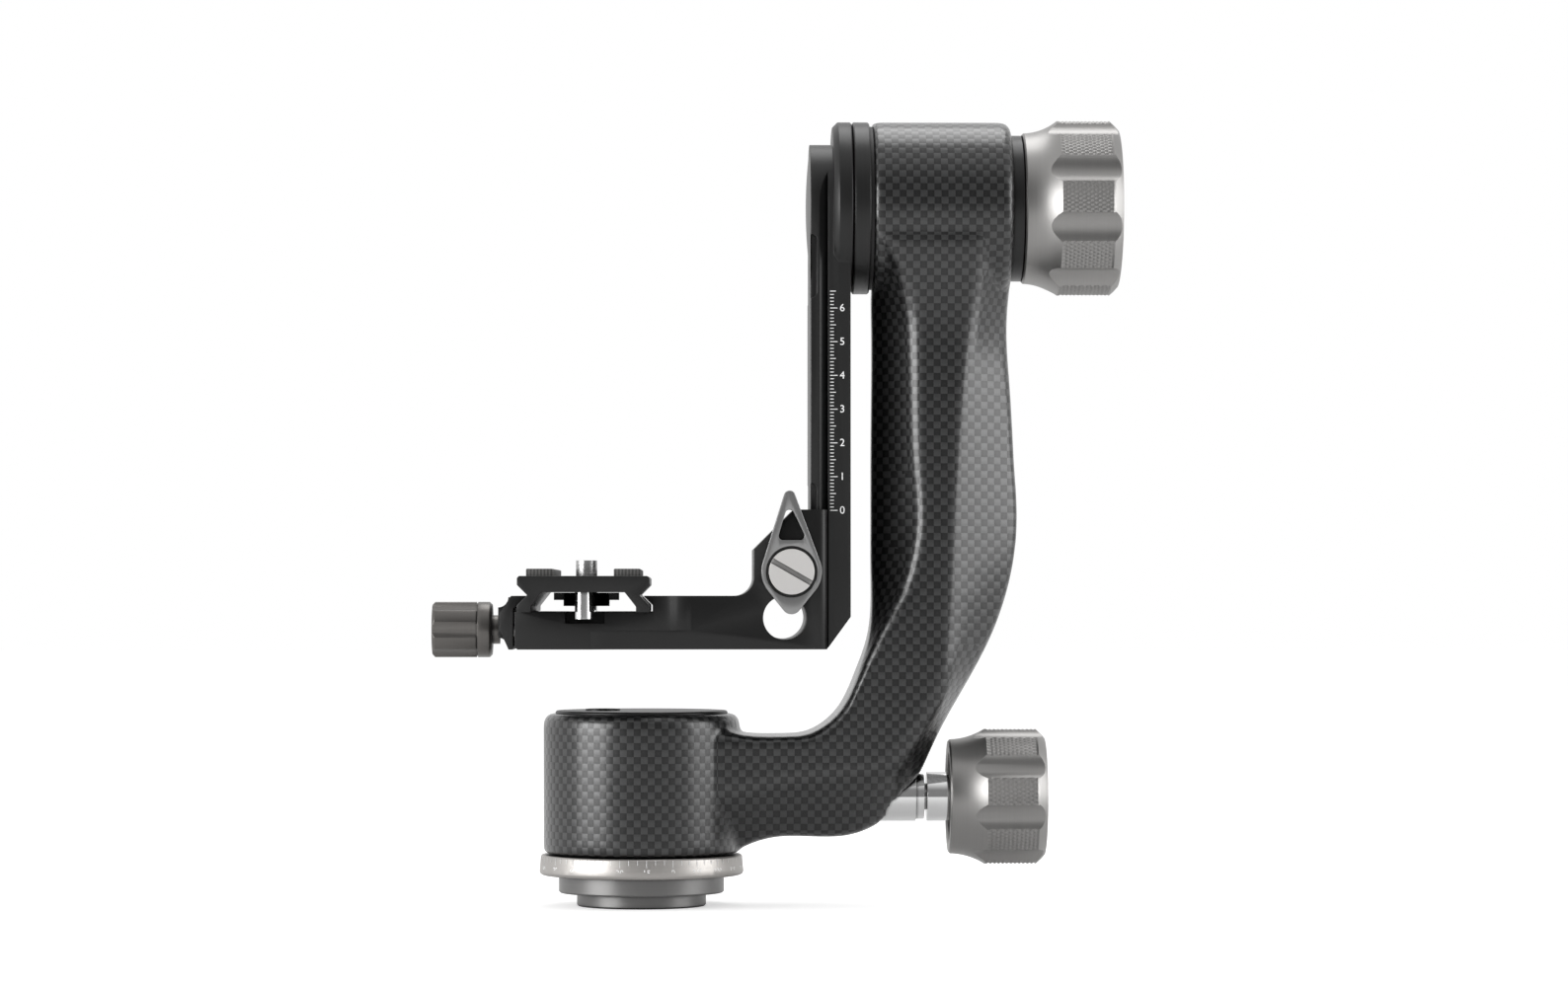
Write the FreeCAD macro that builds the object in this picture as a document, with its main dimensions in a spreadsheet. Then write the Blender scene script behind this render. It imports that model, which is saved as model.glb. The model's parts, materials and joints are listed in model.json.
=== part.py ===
import FreeCAD, Part
import math
import os
import re
import Sketcher

# Gimbal tripod head. Millimetres, +Z up, pan axis on Z, foot at the origin.
# +X points from the pan axis to the upright and the lock knobs, -Y is the side with the lever.

# Driving dimensions, one cell each
SIZES = {
    # clearances
    "fit_gap": 0.02, "slide_gap": 0.08, "turn_gap": 0.3, "guide_gap": 0.12, "edge_break": 0.4,
    # base
    "foot_radius": 19.3, "foot_height": 4.0, "disc_radius": 24.7, "disc_height": 5.3,
    "insert_radius": 7.0, "tripod_thread_radius": 3.99,
    "ring_radius": 30.5, "ring_height": 6.0, "ring_round": 1.2, "ring_taper": 0.4,
    "base_screw_count": 3, "base_screw_circle": 12.4, "base_screw_radius": 2.0,
    "base_screw_head": 3.5, "base_screw_head_height": 3.6,
    # pan spindle and bearings
    "pan_flange_radius": 16.5, "pan_flange_height": 4.0, "pan_shaft_radius": 8.5,
    "pan_shoulder": 2.1, "pan_bearing_radius": 17.5, "pan_bearing_width": 10.0,
    "pan_bearing_inset": 1.4, "pan_bearing_cover": 6.5, "pan_race_wall": 3.0,
    "pan_ball_radius": 2.4, "pan_ball_count": 10, "ball_gap": 0.1, "bearing_lip": 1.6,
    "pan_drum_radius": 11.6, "pan_thread_radius": 6.0, "pan_thread_height": 4.0,
    "pan_nut_radius": 10.2, "pan_nut_height": 3.2,
    # lower hub
    "hub_radius": 29.3, "hub_height": 41.9, "hub_round": 3.0, "sleeve_radius": 20.5,
    "cap_radius": 25.75, "cap_height": 0.8, "cap_spigot": 2.0,
    "level_radius": 5.2, "level_offset": 11.6, "level_depth": 2.3, "level_proud": 0.5,
    "vial_radius": 4.3, "level_floor": 0.6,
    # carbon upright
    "upright_x": 69.0, "tilt_height": 209.0, "tilt_hub_radius": 25.8, "tilt_hub_length": 41.5,
    "limb_depth": 20.0, "limb_nose": 4.4, "limb_flat": 17.0, "limb_edge": 5.0,
    "tilt_hub_round": 3.0, "tilt_hub_break": 0.6,
    # pan lock
    "lock_rise": 16.9, "bush_radius": 7.4, "bush_end": 84.5, "bush_neck": 0.6,
    "bush_neck_length": 2.5, "bush_start": 22.5, "rod_radius": 4.0, "collar_gap": 0.8,
    "shoe_radius": 4.8, "shoe_back": 19.4, "shoe_gap": 0.4,
    "pan_knob_start": 91.8, "pan_knob_length": 28.8, "pan_knob_small": 17.1,
    "pan_knob_radius": 20.2, "pan_knob_flare": 10.8, "pan_knob_chamfer": 2.6,
    "pan_knob_cup": 13.8, "pan_knob_cup_depth": 8.0, "pan_scallops": 8, "pan_scallop_turn": 16.0,
    "pan_scallop_cut": 1.7, "pan_scallop_radius": 6.6,
    # tilt spindle and bearings
    "tilt_sleeve_radius": 18.5, "tilt_shaft_radius": 7.5, "tilt_bearing_radius": 16.0,
    "tilt_bearing_width": 9.0, "tilt_bearing_inset": 4.0, "tilt_bearing_cover": 4.5,
    "tilt_race_wall": 2.6, "tilt_ball_radius": 2.1, "tilt_ball_count": 10,
    "seal_width": 1.0, "seal_radius": 24.5, "flange_width": 5.0, "flange_bore": 9.2,
    "facing_depth": 3.0,
    "flange_screw_circle": 13.6, "flange_screw_count": 4, "flange_screw_radius": 1.5,
    "flange_screw_head": 2.8, "flange_screw_head_height": 1.8,
    "spacer_width": 3.1, "spacer_radius": 21.9, "washer_radius": 17.0, "washer_width": 1.6,
    "clip_width": 1.2, "clip_wall": 2.2, "clip_groove": 0.5, "spindle_flange_radius": 15.0,
    "spindle_flange_width": 3.5, "spindle_bolt_radius": 4.0, "spindle_bolt_head": 6.5,
    "spindle_bolt_head_height": 4.2, "spindle_bolt_length": 22.0,
    "key_pin_radius": 1.5, "key_pin_circle": 11.5, "key_pin_count": 3,
    # tilt lock
    "tilt_thread_radius": 6.0, "thread_relief": 0.5, "pressure_radius": 17.0, "pressure_width": 2.4,
    "knob_lift": 0.4, "tilt_knob_length": 28.8, "tilt_knob_small": 22.6,
    "tilt_knob_radius": 26.3, "tilt_knob_flare": 10.5, "tilt_knob_chamfer": 2.6,
    "tilt_scallops": 9, "tilt_scallop_turn": 16.5, "tilt_scallop_cut": 2.0,
    "tilt_scallop_radius": 7.4, "knob_insert_radius": 9.0, "knob_insert_length": 13.0,
    "knob_cover_depth": 1.6, "knob_cover_dome": 0.7, "knob_cover_margin": 6.0,
    # swing arm and rail
    "arm_disc_width": 5.7, "arm_disc_chamfer": 1.6, "rail_step": 0.7, "bar_thickness": 6.7,
    "groove_depth": 2.5, "rail_edge": 2.6, "rail_width": 38.0, "rail_length": 132.2,
    "rail_chamfer": 7.0, "rail_chamfer_height": 9.6, "notch_depth": 1.9, "notch_width": 4.5,
    "notch_top": 9.0, "notch_length": 19.0, "low_notch_top": 83.0,
    "cover_radius": 17.0, "cover_seat": 0.8, "cover_dome": 1.0,
    # platform bracket
    "bracket_width": 45.0, "bracket_height": 41.3, "floor_height": 11.1, "lip_height": 4.7,
    "column_depth": 16.85, "column_round": 5.6, "column_slope": 11.7, "column_edge": 2.6,
    "head_width": 52.0, "head_left": 20.6, "head_blend_start": 20.6, "head_blend": 10.8,
    "head_step": 5.6, "low_blend_start": 1.8, "low_blend": 11.4,
    "slot_half": 5.8, "slot_depth": 3.4, "slot_reach": 6.0,
    "strap_hole_radius": 6.5, "strap_hole_back": 7.7, "strap_hole_rise": 9.3,
    "stop_screw_radius": 1.5, "stop_screw_rise": 4.4, "stop_screw_head": 2.2,
    "stop_slot_height": 6.7, "stop_screw_stand": 0.8, "stop_screw_length": 4.0,
    # clamp jaw, its screw and knob
    "jaw_width": 51.0, "grip_gap": 0.77, "jaw_gap": 0.5, "jaw_wall": 3.95,
    "stud_radius": 2.5, "stud_start": 12.0, "stud_length": 33.0, "screw_rise": 5.7,
    "pin_radius": 2.0, "pin_spread": 17.0, "pin_length": 14.5, "pin_tip": 0.7,
    "jaw_shoulder": 10.6, "jaw_waist": 5.9, "jaw_top_width": 4.5, "jaw_block": 0.8,
    "jaw_block_half": 16.0, "jaw_block_round": 3.0, "knob_collar_radius": 4.3, "knob_stand": 3.05,
    "clamp_knob_radius": 8.3, "clamp_knob_length": 17.9, "clamp_knob_round": 4.3,
    "clamp_knob_flats": 6, "clamp_knob_flat_cut": 0.9, "clamp_knob_flat_radius": 5.0,
    "clamp_bush_depth": 12.5, "clamp_bore_depth": 16.0,
    # height lever and gib
    "lever_back": 5.9, "lever_rise": 22.9, "lever_ring": 8.9, "lever_recess": 7.5,
    "lever_recess_depth": 1.2, "lever_thickness": 4.6, "lever_tip_reach": 22.2,
    "lever_tip_radius": 1.7, "lever_tip_side": 0.6, "lever_tail_reach": 9.6,
    "lever_tail_radius": 2.9, "window_low": 10.6, "window_high": 17.0, "window_half": 2.5,
    "window_round": 1.3, "lever_shaft_radius": 3.9, "lever_tip_journal": 2.7,
    "lever_head_radius": 6.7,
    "lever_head_height": 2.2, "lever_slot_width": 1.6,
    "lever_slot_depth": 1.1, "lever_slot_turn": 30.0, "cam_radius": 3.3, "cam_throw": 0.5,
    "cam_length": 16.0, "cam_gap": 0.1, "pad_block_height": 10.0, "cam_chamber_back": 4.2,
    "lever_shaft_end": 12.0,
    # quick plate
    "plate_offset": 66.7, "plate_width": 38.3, "plate_length": 100.0, "plate_chamfer": 0.6,
    "plate_edge": 2.6, "plate_neck": 2.95, "plate_foot": 2.0, "channel_height": 5.75,
    "channel_top": 12.0, "channel_half": 15.25, "channel_rise": 1.6,
    "pad_width": 7.8, "pad_height": 2.1, "pad_spread": 12.7, "pad_seat": 0.5, "pad_margin": 2.0,
    "camera_thread_radius": 3.175, "camera_screw_stand": 4.8, "camera_head_radius": 6.9,
    "camera_neck_radius": 2.55,
    "camera_head_height": 4.0, "camera_head_gap": 0.1, "camera_stub": 9.75,
    "camera_stub_height": 2.2, "camera_stub_width": 3.4,
    "stop_pin_radius": 2.5, "stop_pin_inset": 5.0, "stop_pin_drop": 2.0, "stop_pin_seat": 2.0,
}

doc = FreeCAD.newDocument("gimbal_head")
sheet = doc.addObject("Spreadsheet::Sheet", "Sizes")
for row, (alias, value) in enumerate(SIZES.items(), start=1):
    sheet.set("A%d" % row, alias)
    sheet.set("B%d" % row, str(value))
    sheet.setAlias("B%d" % row, alias)
doc.recompute()

V = FreeCAD.Vector
TURN_TO_X = FreeCAD.Rotation(V(0, 1, 0), 90)
TURN_TO_Y = FreeCAD.Rotation(V(1, 0, 0), -90)
nodes = []


# Expressions of the sheet's sizes
def bound(text):
    return re.sub(r"[a-z][a-z_]+", lambda word: "Sizes." + word[0] if word[0] in SIZES else word[0],
                  str(text))


def num(text):
    return float(sheet.evalExpression(bound(text)))


def bind(thing, field, text):
    thing.setExpression(field, bound(text))


def place(thing, at, turn=None):
    if turn is not None:
        thing.Placement = FreeCAD.Placement(V(0, 0, 0), turn)
    for axis, text in zip("xyz", at):
        bind(thing, "Placement.Base." + axis, text)


def node(name, thing):
    thing.Label = name
    nodes.append(thing)
    return thing


# Levels and stations that follow from the sizes
DISC_TOP = "(foot_height + disc_height)"
RING_TOP = "(" + DISC_TOP + " + ring_height)"
HUB_BOTTOM = "(" + RING_TOP + " + turn_gap)"
HUB_TOP = "(" + HUB_BOTTOM + " + hub_height)"
CAP_TOP = "(" + HUB_TOP + " + cap_height)"
LOCK_Z = "(" + HUB_BOTTOM + " + lock_rise)"
PAN_LOW = "(" + HUB_BOTTOM + " + pan_bearing_inset)"
PAN_LOW_TOP = "(" + PAN_LOW + " + pan_bearing_width)"
PAN_HIGH_TOP = "(" + HUB_TOP + " - pan_bearing_cover)"
PAN_HIGH = "(" + PAN_HIGH_TOP + " - pan_bearing_width)"
TILT_END = "(upright_x + tilt_hub_length)"
SEAL_LEFT = "(upright_x - seal_width)"
FLANGE_LEFT = "(" + SEAL_LEFT + " - flange_width)"
ARM_FACE = "(" + FLANGE_LEFT + " - turn_gap)"
DISC_LEFT = "(" + ARM_FACE + " - arm_disc_width)"
RAIL_BACK = "(" + ARM_FACE + " - rail_step)"
BAR_FRONT = "(" + RAIL_BACK + " - bar_thickness)"
EDGE_BACK = "(" + BAR_FRONT + " - groove_depth)"
RAIL_FRONT = "(" + EDGE_BACK + " - rail_edge)"
RAIL_BOTTOM = "(tilt_height - rail_length)"
SPACER_END = "(" + TILT_END + " + spacer_width)"
KNOB_START = "(" + SPACER_END + " + knob_lift)"
TILT_LOW = "(upright_x + tilt_bearing_inset)"
TILT_LOW_END = "(" + TILT_LOW + " + tilt_bearing_width)"
TILT_HIGH_END = "(" + TILT_END + " - tilt_bearing_cover)"
TILT_HIGH = "(" + TILT_HIGH_END + " - tilt_bearing_width)"
PLATE_X = "(" + RAIL_FRONT + " - plate_offset)"
FLOOR = "(" + RAIL_BOTTOM + " + floor_height)"
LIP_TOP = "(" + FLOOR + " + lip_height)"
BRACKET_TOP = "(" + RAIL_BOTTOM + " + bracket_height)"
SCREW_Z = "(" + RAIL_BOTTOM + " + screw_rise)"
HEAD_LEFT = "(" + PLATE_X + " - head_left)"
JAW_RIGHT = "(" + HEAD_LEFT + " - jaw_gap)"
JAW_LEFT = "(" + JAW_RIGHT + " - jaw_wall)"
NEAR_FACE = "(-bracket_width / 2)"
LEVER_X = "(" + RAIL_FRONT + " - lever_back)"
LEVER_Z = "(" + RAIL_BOTTOM + " + lever_rise)"
PLATE_TOP = "(" + FLOOR + " + plate_foot + 2 * plate_neck + plate_edge)"
CHANNEL_ROOF = "(" + FLOOR + " + channel_height)"


# Sketch of a closed outline. A point is (x, y) or (x, y, radius, side): with a radius, the
# stretch to the next point is an arc that bulges to the left (1) or right (-1) of its chord.
def draw(sketch, points):
    corners = [V(num(point[0]), num(point[1]), 0) for point in points]
    ends = []
    for index, point in enumerate(points):
        start = corners[index]
        finish = corners[(index + 1) % len(points)]
        if len(point) == 2:
            sketch.addGeometry(Part.LineSegment(start, finish))
            ends.append((1, 2))
            continue
        radius = num(point[2])
        chord = finish.sub(start)
        left = V(-chord.y, chord.x, 0).normalize()
        offset = math.sqrt(radius ** 2 - (chord.Length / 2) ** 2)
        centre = start.add(finish).multiply(0.5).sub(left.multiply(offset * point[3]))
        first, last = (finish, start) if point[3] > 0 else (start, finish)
        first_angle = math.atan2(first.y - centre.y, first.x - centre.x)
        last_angle = math.atan2(last.y - centre.y, last.x - centre.x)
        if last_angle < first_angle:
            last_angle += 2 * math.pi
        circle = Part.Circle(centre, V(0, 0, 1), radius)
        sketch.addGeometry(Part.ArcOfCircle(circle, first_angle, last_angle))
        ends.append((2, 1) if point[3] > 0 else (1, 2))
    for index, point in enumerate(points):
        follower = (index + 1) % len(points)
        sketch.addConstraint(
            Sketcher.Constraint("Coincident", index, ends[index][1], follower, ends[follower][0]))
    for index, point in enumerate(points):
        for kind, text, value in (("DistanceX", point[0], corners[index].x),
                                  ("DistanceY", point[1], corners[index].y)):
            number = sketch.addConstraint(
                Sketcher.Constraint(kind, -1, 1, index, ends[index][0], value))
            bind(sketch, "Constraints[%d]" % number, text)
        if len(point) > 2:
            number = sketch.addConstraint(Sketcher.Constraint("Radius", index, num(point[2])))
            bind(sketch, "Constraints[%d]" % number, point[2])


def origin_plane(body, role):
    for feature in body.Origin.OriginFeatures:
        if feature.Role == role:
            return feature


# Turned piece. Points are (radius, along) for an upright axis, and (along, radius) for X and Y.
def turned(name, axis, points, at=("0", "0", "0")):
    body = doc.addObject("PartDesign::Body", name)
    sketch = body.newObject("Sketcher::SketchObject", name + "_profile")
    sketch.AttachmentSupport = (origin_plane(body, "YZ_Plane" if axis == "Y" else "XZ_Plane"), [""])
    sketch.MapMode = "FlatFace"
    draw(sketch, points)
    feature = body.newObject("PartDesign::Revolution", name + "_turned")
    feature.Profile = sketch
    feature.ReferenceAxis = (sketch, ["V_Axis" if axis == "Z" else "H_Axis"])
    feature.Angle = 360
    place(body, at)
    return body


# Straight piece: an outline in the XZ plane along Y, in the XY plane along Z, or in YZ along X
def prism(name, plane, points, start, length):
    sketch = doc.addObject("Sketcher::SketchObject", name + "_outline")
    draw(sketch, points)
    thing = doc.addObject("Part::Extrusion", name)
    thing.Base = sketch
    thing.DirMode = "Custom"
    thing.Solid = True
    if plane == "XZ":
        sketch.Placement = FreeCAD.Placement(V(0, 0, 0), FreeCAD.Rotation(V(1, 0, 0), 90))
        thing.Dir = V(0, 1, 0)
        bind(sketch, "Placement.Base.y", start)
    elif plane == "YZ":
        turn = FreeCAD.Rotation(V(0, 1, 0), V(0, 0, 1), V(1, 0, 0), "ZXY")
        sketch.Placement = FreeCAD.Placement(V(0, 0, 0), turn)
        thing.Dir = V(1, 0, 0)
        bind(sketch, "Placement.Base.x", start)
    else:
        thing.Dir = V(0, 0, 1)
        bind(sketch, "Placement.Base.z", start)
    bind(thing, "LengthFwd", length)
    return thing


def cylinder(name, axis, radius, length, at):
    thing = doc.addObject("Part::Cylinder", name)
    bind(thing, "Radius", radius)
    bind(thing, "Height", length)
    place(thing, at, {"X": TURN_TO_X, "Y": TURN_TO_Y, "Z": None}[axis])
    return thing


def box(name, size, at):
    thing = doc.addObject("Part::Box", name)
    for field, text in zip(("Length", "Width", "Height"), size):
        bind(thing, field, text)
    place(thing, at)
    return thing


def cut(name, base, *tools):
    thing = doc.addObject("Part::Cut", name)
    thing.Base = base
    thing.Tool = tools[0] if len(tools) == 1 else fuse(name + "_tools", *tools)
    return thing


def fuse(name, *pieces):
    thing = doc.addObject("Part::MultiFuse", name)
    thing.Shapes = list(pieces)
    return thing


def common(name, *pieces):
    thing = doc.addObject("Part::MultiCommon", name)
    thing.Shapes = list(pieces)
    return thing


def group(name, *pieces):
    thing = doc.addObject("Part::Compound", name)
    thing.Links = list(pieces)
    return thing


# Rounds the edges of a piece that a test picks by their middle point and direction
def rounded(name, base, radius, test):
    doc.recompute()
    size = num(radius)
    picked = []
    for index, edge in enumerate(base.Shape.Edges, start=1):
        middle = edge.valueAt((edge.FirstParameter + edge.LastParameter) / 2)
        along = edge.tangentAt((edge.FirstParameter + edge.LastParameter) / 2)
        if test(middle, along, edge):
            picked.append((index, size, size))
    thing = doc.addObject("Part::Fillet", name)
    thing.Base = base
    thing.Edges = picked
    return thing


def near(value, text):
    return abs(value - num(text)) < 0.02


# Places on a circle, as pairs of expressions for the two coordinates
def around(count, radius, turn="0"):
    places = []
    for index in range(int(num(count))):
        angle = "(%s + 360 * %d / %s)" % (turn, index, count)
        places.append(("%s * cos(%s)" % (radius, angle), "%s * sin(%s)" % (radius, angle)))
    return places


# Base: foot and disc in one, threaded insert, degree ring and the screws from below
plate_body = turned("base_turned", "Z", [
    ("insert_radius + fit_gap", "0"),
    ("foot_radius - edge_break", "0"),
    ("foot_radius", "edge_break"),
    ("foot_radius", "foot_height"),
    ("disc_radius - edge_break", "foot_height"),
    ("disc_radius", "foot_height + edge_break"),
    ("disc_radius", DISC_TOP),
    ("insert_radius + fit_gap", DISC_TOP)])
screw_holes = []
screw_solids = []
for index, (east, north) in enumerate(around("base_screw_count", "base_screw_circle", "30")):
    head = "base_screw_head_height + turn_gap"
    screw_holes.append(cylinder("base_hole_%d" % index, "Z", "base_screw_radius + fit_gap",
                                DISC_TOP, (east, north, "0")))
    screw_holes.append(cylinder("base_sink_%d" % index, "Z", "base_screw_head + fit_gap",
                                head, (east, north, "0")))
    screw_solids.append(fuse(
        "base_screw_%d" % index,
        cylinder("base_head_%d" % index, "Z", "base_screw_head", "base_screw_head_height",
                 (east, north, "turn_gap")),
        cylinder("base_shank_%d" % index, "Z", "base_screw_radius",
                 DISC_TOP + " + pan_flange_height - 2 * turn_gap", (east, north, "turn_gap"))))
node("base_plate", cut("base_plate", plate_body, *screw_holes))
node("base_screws", group("base_screws", *screw_solids))
node("tripod_thread_insert", turned("tripod_thread_insert", "Z", [
    ("tripod_thread_radius", "0"),
    ("insert_radius", "0"),
    ("insert_radius", DISC_TOP),
    ("tripod_thread_radius", DISC_TOP)]))
node("degree_ring", turned("degree_ring", "Z", [
    ("pan_flange_radius + fit_gap", DISC_TOP),
    ("ring_radius - ring_round", DISC_TOP, "ring_round", -1),
    ("ring_radius", DISC_TOP + " + ring_round"),
    ("ring_radius - ring_taper", RING_TOP + " - edge_break"),
    ("ring_radius - ring_taper - edge_break", RING_TOP),
    ("pan_flange_radius + fit_gap", RING_TOP)]))

# Pan spindle: flange on the base disc, shoulder, shaft for two bearings, thread for the nut
spindle_body = turned("pan_spindle_turned", "Z", [
    ("0", DISC_TOP),
    ("pan_flange_radius", DISC_TOP),
    ("pan_flange_radius", DISC_TOP + " + pan_flange_height"),
    ("pan_shaft_radius + pan_shoulder", DISC_TOP + " + pan_flange_height"),
    ("pan_shaft_radius + pan_shoulder", PAN_LOW),
    ("pan_shaft_radius", PAN_LOW),
    ("pan_shaft_radius", PAN_HIGH_TOP),
    ("pan_thread_radius", PAN_HIGH_TOP),
    ("pan_thread_radius", PAN_HIGH_TOP + " + pan_thread_height"),
    ("0", PAN_HIGH_TOP + " + pan_thread_height")])
tapped = [cylinder("spindle_tap_%d" % index, "Z", "base_screw_radius + fit_gap",
                   "pan_flange_height", (east, north, DISC_TOP))
          for index, (east, north) in enumerate(around("base_screw_count", "base_screw_circle",
                                                       "30"))]
node("pan_spindle", cut("pan_spindle", spindle_body, *tapped))


def ring(name, axis, inner, outer, start, finish, at=("0", "0", "0")):
    corners = [(inner, start), (outer, start), (outer, finish), (inner, finish)]
    if axis != "Z":
        corners = [(along, radius) for radius, along in corners]
    return turned(name, axis, corners, at)


node("pan_brake_drum", ring("pan_brake_drum", "Z", "pan_shaft_radius + fit_gap",
                            "pan_drum_radius", PAN_LOW_TOP, PAN_HIGH))
node("spindle_nut", ring("spindle_nut", "Z", "pan_thread_radius + fit_gap", "pan_nut_radius",
                         PAN_HIGH_TOP, PAN_HIGH_TOP + " + pan_nut_height"))


# Ball bearing: races with a groove each, and balls between them
def bearing(name, axis, shaft, outer, wall, width, ball, count, start, height="0"):
    inner_edge = "(" + shaft + " + fit_gap)"
    outer_edge = "(" + outer + " - fit_gap)"
    pitch = "((" + shaft + " + " + outer + ") / 2)"
    middle = "(" + start + " + " + width + " / 2)"
    centre = ("0", "0", middle) if axis == "Z" else (middle, "0", height)
    seat = ("0", "0", "0") if axis == "Z" else ("0", "0", height)
    end = start + " + " + width
    grooves = []
    for side in ("inner", "outer"):
        torus = doc.addObject("Part::Torus", name + "_groove_" + side)
        bind(torus, "Radius1", pitch)
        bind(torus, "Radius2", ball + " + ball_gap")
        place(torus, centre, TURN_TO_X if axis == "X" else None)
        grooves.append(torus)
    inner = cut(name + "_inner", ring(name + "_inner_ring", axis, inner_edge,
                                      shaft + " + " + wall, start, end, seat), grooves[0])
    outside = cut(name + "_outer", ring(name + "_outer_ring", axis, outer + " - " + wall,
                                        outer_edge, start, end, seat), grooves[1])
    balls = []
    for index, (first, second) in enumerate(around(count, pitch)):
        sphere = doc.addObject("Part::Sphere", "%s_ball_%d" % (name, index))
        bind(sphere, "Radius", ball)
        if axis == "Z":
            place(sphere, (first, second, middle))
        else:
            place(sphere, (middle, first, height + " + " + second))
        balls.append(sphere)
    return inner, outside, balls


pan_bearings = [bearing("pan_bearing_" + where, "Z", "pan_shaft_radius", "pan_bearing_radius",
                        "pan_race_wall", "pan_bearing_width", "pan_ball_radius",
                        "pan_ball_count", start)
                for where, start in (("low", PAN_LOW), ("high", PAN_HIGH))]
node("pan_bearing_inner_races", group("pan_bearing_inner_races",
                                      *[races[0] for races in pan_bearings]))
node("pan_bearing_outer_races", group("pan_bearing_outer_races",
                                      *[races[1] for races in pan_bearings]))
node("pan_bearing_balls", group("pan_bearing_balls", *[ball for races in pan_bearings
                                                       for ball in races[2]]))

# Sleeve in the lower hub: seats both outer races and guides the brake shoe
sleeve_body = turned("lower_sleeve_turned", "Z", [
    ("pan_bearing_radius - bearing_lip", HUB_BOTTOM + " + turn_gap"),
    ("sleeve_radius", HUB_BOTTOM + " + turn_gap"),
    ("sleeve_radius", HUB_TOP),
    ("pan_bearing_radius", HUB_TOP),
    ("pan_bearing_radius", PAN_HIGH),
    ("pan_bearing_radius - bearing_lip", PAN_HIGH),
    ("pan_bearing_radius - bearing_lip", PAN_LOW_TOP),
    ("pan_bearing_radius", PAN_LOW_TOP),
    ("pan_bearing_radius", PAN_LOW),
    ("pan_bearing_radius - bearing_lip", PAN_LOW)])
shoe_way = cylinder("shoe_way", "X", "shoe_radius + slide_gap", "hub_radius",
                    ("0", "0", LOCK_Z))
node("lower_hub_sleeve", cut("lower_hub_sleeve", sleeve_body, shoe_way))

# Cap of the lower hub and the round level in it
cap_body = turned("hub_cap_turned", "Z", [
    ("0", HUB_TOP + " - cap_spigot"),
    ("pan_bearing_radius - fit_gap", HUB_TOP + " - cap_spigot"),
    ("pan_bearing_radius - fit_gap", HUB_TOP),
    ("cap_radius", HUB_TOP),
    ("cap_radius", HUB_TOP + " + cap_height - edge_break"),
    ("cap_radius - edge_break", CAP_TOP),
    ("0", CAP_TOP)])
level_at = ("-level_offset", "0", CAP_TOP + " - level_depth")
level_pocket = cylinder("level_pocket", "Z", "level_radius + fit_gap", "level_depth", level_at)
node("hub_cap", cut("hub_cap", cap_body, level_pocket))
node("level_housing", turned("level_housing", "Z", [
    ("0", "0"),
    ("level_radius", "0"),
    ("level_radius", "level_depth + level_proud"),
    ("vial_radius", "level_depth + level_proud"),
    ("vial_radius", "level_floor"),
    ("0", "level_floor")], level_at))
node("level_vial", turned("level_vial", "Z", [
    ("0", "level_floor"),
    ("vial_radius - fit_gap", "level_floor"),
    ("vial_radius - fit_gap", "level_depth + level_proud - edge_break"),
    ("0", "level_depth + level_proud - edge_break / 4")], level_at))

# Carbon upright. Each station of the limb is an eight-sided section between an inner edge, an
# inner ridge, an outer ridge and an outer edge. The upper stations are measured from the inner
# face of the upper hub and down from the tilt axis, and the lower ones from the pan axis and up
# from the bottom of the lower hub: (inner edge, inner ridge, outer ridge, outer edge, share of
# the nose's width, and depth beyond the limb's depth).
UPPER_STATIONS = [
    ((0.3, -10.1), (1.2, -10.1), (35.0, -10.1), (41.2, -10.1), 1.0, 4.6),
    ((0.2, -17.6), (6.3, -17.6), (31.4, -17.6), (41.8, -17.6), 0.3, 3.3),
    ((-0.3, -26.4), (9.8, -26.4), (30.1, -26.4), (41.0, -26.4), 0.0, 1.4),
    ((-0.2, -35.3), (11.5, -35.3), (28.7, -35.3), (40.4, -35.3), 0.0, 0.3),
    ((-0.2, -56.1), (12.3, -56.1), (25.8, -56.1), (41.5, -56.1), 0.0, 0.0),
    ((-0.4, -76.8), (13.0, -76.8), (24.0, -76.8), (42.6, -76.8), 0.0, 0.0),
    ((-0.4, -94.5), (14.0, -94.5), (22.8, -94.5), (43.4, -94.5), 0.0, 0.0)]
LOWER_STATIONS = [
    ((68.6, 85.5), (79.3, 81.0), (90.95, 78.1), (109.9, 80.5), 0.05, 0.0),
    ((68.4, 69.2), (73.15, 70.2), (90.75, 63.5), (104.5, 64.8), 0.3, 0.0),
    ((64.6, 55.0), (64.7, 53.0), (89.2, 48.3), (95.6, 48.2), 0.75, 0.0),
    ((58.6, 42.6), (58.85, 41.3), (80.45, 32.3), (87.06, 32.2), 1.0, 0.0),
    ((50.9, 36.7), (51.25, 35.2), (73.15, 25.3), (78.2, 15.6), 1.0, 0.0),
    ((44.4, 35.5), (43.95, 34.6), (58.55, 22.9), (62.8, 5.6), 1.0, 0.0),
    ((37.0, 35.4), (36.65, 34.3), (41.05, 20.3), (42.9, 5.1), 1.0, 0.0),
    ((31.1, 35.8), (30.8, 34.6), (31.4, 17.8), (32.0, 2.6), 1.0, 0.0),
    ((23.0, 37.4), (23.0, 34.6), (23.0, 17.0), (23.0, 2.2), 1.0, 0.0)]


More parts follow.
